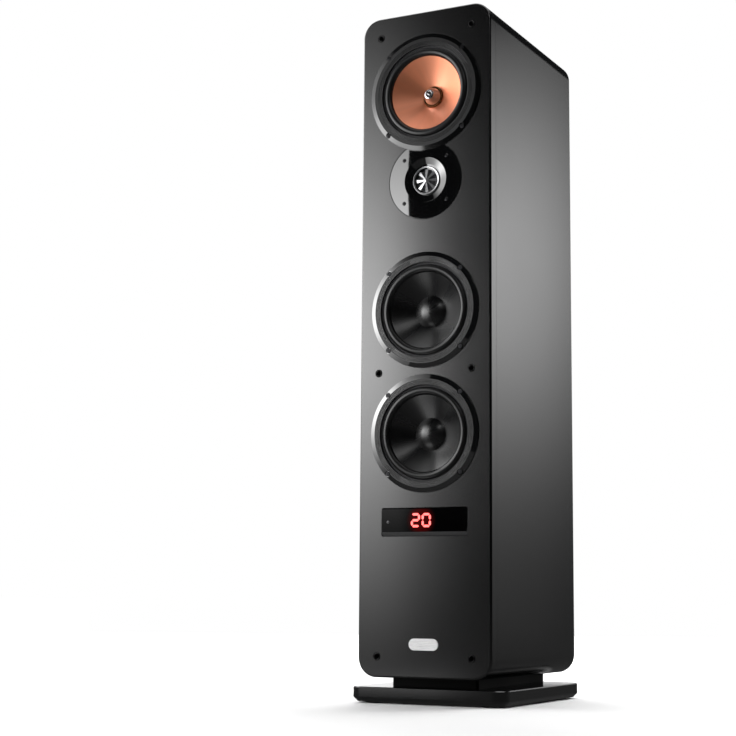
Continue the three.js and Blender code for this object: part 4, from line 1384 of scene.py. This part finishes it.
def camera():
    data = bpy.data.cameras.new("camera")
    data.lens = CAMERA["lens"]
    eye = bpy.data.objects.new("camera", data)
    bpy.context.scene.collection.objects.link(eye)
    azimuth, pitch, roll = (math.radians(CAMERA[k]) for k in ("azimuth", "pitch", "roll"))
    level = Vector((-math.sin(azimuth), math.cos(azimuth), 0))
    ahead = level * math.cos(pitch) + Vector((0, 0, math.sin(pitch)))
    right = Vector((math.cos(azimuth), math.sin(azimuth), 0))
    up = right.cross(ahead)
    across = right * math.cos(roll) - up * math.sin(roll)
    upwards = right * math.sin(roll) + up * math.cos(roll)
    turn = Matrix((across, upwards, -ahead)).transposed()
    eye.matrix_world = Matrix.Translation(CAMERA["place"]) @ turn.to_4x4()
    bpy.context.scene.camera = eye


def stage_mesh(name, points, material, *unseen_by):
    """A flat stage face through the given points, in metres, hidden from some kinds of ray."""
    mesh = bpy.data.meshes.new(name)
    mesh.from_pydata(points, [], [list(range(len(points)))])
    mesh.materials.append(material)
    thing = bpy.data.objects.new(name, mesh)
    bpy.context.scene.collection.objects.link(thing)
    for ray in unseen_by:
        setattr(thing, "visible_" + ray, False)
    return thing


def level_sheet(name, across, deep, material, *unseen_by):
    x, y = across / 2, deep / 2
    corners = [(-x, -y, 0), (x, -y, 0), (x, y, 0), (-x, y, 0)]
    return stage_mesh(name, corners, material, *unseen_by)


def pale_floor():
    """Paper that glows a little more with distance, so that it meets the white behind it."""
    finish = Finish("floor_paper", (0.86, 0.86, 0.86), 0.9)
    finish.tint(finish.noise(3, 3), (0.85, 0.85, 0.85), (0.87, 0.87, 0.87))
    finish.glow((1, 1, 1), (FLOOR["clear"], 0), (FLOOR["white"], 1), "SMOOTHSTEP")
    level_sheet("floor", 2 * FLOOR["reach"], 2 * FLOOR["reach"], finish.material, "glossy")


def lamp_material(name, power=1.0):
    """An even light."""
    material = bpy.data.materials.new(name)
    material.use_nodes = True
    tree = material.node_tree
    tree.nodes.clear()
    light = node(tree, "ShaderNodeEmission", Strength=power)
    node(tree, "ShaderNodeOutputMaterial", Surface=light.outputs["Emission"])
    return material


def bell(tree, value, centre, half):
    """1 where the value is at the centre, a half where it is half away from it."""
    away = maths(tree, "DIVIDE", maths(tree, "SUBTRACT", value, centre), half)
    return maths(tree, "POWER", 0.5, maths(tree, "MULTIPLY", away, away))


def softbox(name, start, end, top, patches):
    """A standing panel of light from one (x, y) to another, with its patches of light."""
    material = lamp_material(name)
    tree = material.node_tree
    where = node(tree, "ShaderNodeTexCoord").outputs["Object"]
    split = node(tree, "ShaderNodeSeparateXYZ", where)
    strength = 0.0
    for along, half_width, height, half_height, power in patches:
        across = bell(tree, split.outputs["X"], along, half_width)
        up = bell(tree, split.outputs["Z"], height, half_height)
        patch = maths(tree, "MULTIPLY", maths(tree, "MULTIPLY", across, up), power)
        strength = maths(tree, "ADD", strength, patch)
    tree.links.new(strength, tree.nodes["Emission"].inputs["Strength"])
    width = math.hypot(end[0] - start[0], end[1] - start[1])
    low = 0.02
    corners = [(0, 0, low), (width, 0, low), (width, 0, top), (0, 0, top)]
    panel = stage_mesh(name, corners, material, "camera", "shadow")
    panel.location = (*start, 0)
    panel.rotation_euler = (0, 0, math.atan2(end[1] - start[1], end[0] - start[0]))


def overhead_light():
    data = bpy.data.lights.new("overhead", "AREA")
    data.shape = "RECTANGLE"
    data.size = 2.6
    data.size_y = 1.8
    data.energy = 128
    lamp = bpy.data.objects.new("overhead", data)
    lamp.location = (0.2, 1.3, 2.6)
    lamp.rotation_euler = (math.radians(-22), 0, 0)
    lamp.visible_camera = False
    lamp.visible_glossy = False
    bpy.context.scene.collection.objects.link(lamp)


def card(name, place, across, deep, power):
    """A level sheet of light that only shows in reflections."""
    hidden = ("camera", "diffuse", "shadow")
    sheet = level_sheet(name, across, deep, lamp_material(name, power), *hidden)
    sheet.location = place


def surroundings():
    """White where the camera looks past the object, and a dim room for everything else."""
    world = bpy.data.worlds.new("studio")
    bpy.context.scene.world = world
    world.use_nodes = True
    tree = world.node_tree
    tree.nodes.clear()
    room = node(tree, "ShaderNodeBackground", Color=(0.9, 0.95, 1, 1), Strength=0.014)
    paper = node(tree, "ShaderNodeBackground", Color=(1, 1, 1, 1), Strength=1.0)
    to_camera = node(tree, "ShaderNodeLightPath").outputs["Is Camera Ray"]
    choice = node(tree, "ShaderNodeMixShader", to_camera, room.outputs[0], paper.outputs[0])
    node(tree, "ShaderNodeOutputWorld", Surface=choice.outputs[0])


def backdrop():
    """A white card far behind the speaker, which its glossy base mirrors."""
    azimuth = math.radians(CAMERA["azimuth"])
    away = Vector((-math.sin(azimuth), math.cos(azimuth), 0)) * 4.2
    along = Vector((math.cos(azimuth), math.sin(azimuth), 0)) * 1.3
    top = Vector((0, 0, 1.2))
    corners = [away - along, away + along, away + along + top, away - along + top]
    stage_mesh("backdrop", corners, lamp_material("backdrop_paper"), "diffuse")


def studio():
    bpy.context.scene.view_settings.view_transform = "Standard"
    camera()
    pale_floor()
    for name, panel in PANELS.items():
        softbox(name, **panel)
    overhead_light()
    for name, sheet in CARDS.items():
        card(name, **sheet)
    backdrop()
    surroundings()


# ---- The whole speaker ----

studio()
cabinet_shell()
front_baffle()
grille_sockets()
rear_panel()
port_tube()
damping_pad()
inner_boards()
base()
cone_drivers()
tweeter_plate(TWEETER_LINE[2])
tweeter_diffuser(TWEETER_LINE[2])
tweeter_dome(TWEETER_LINE[2])
tweeter_motor(TWEETER_LINE[2])
display()
display_board()
badge()
amplifier()
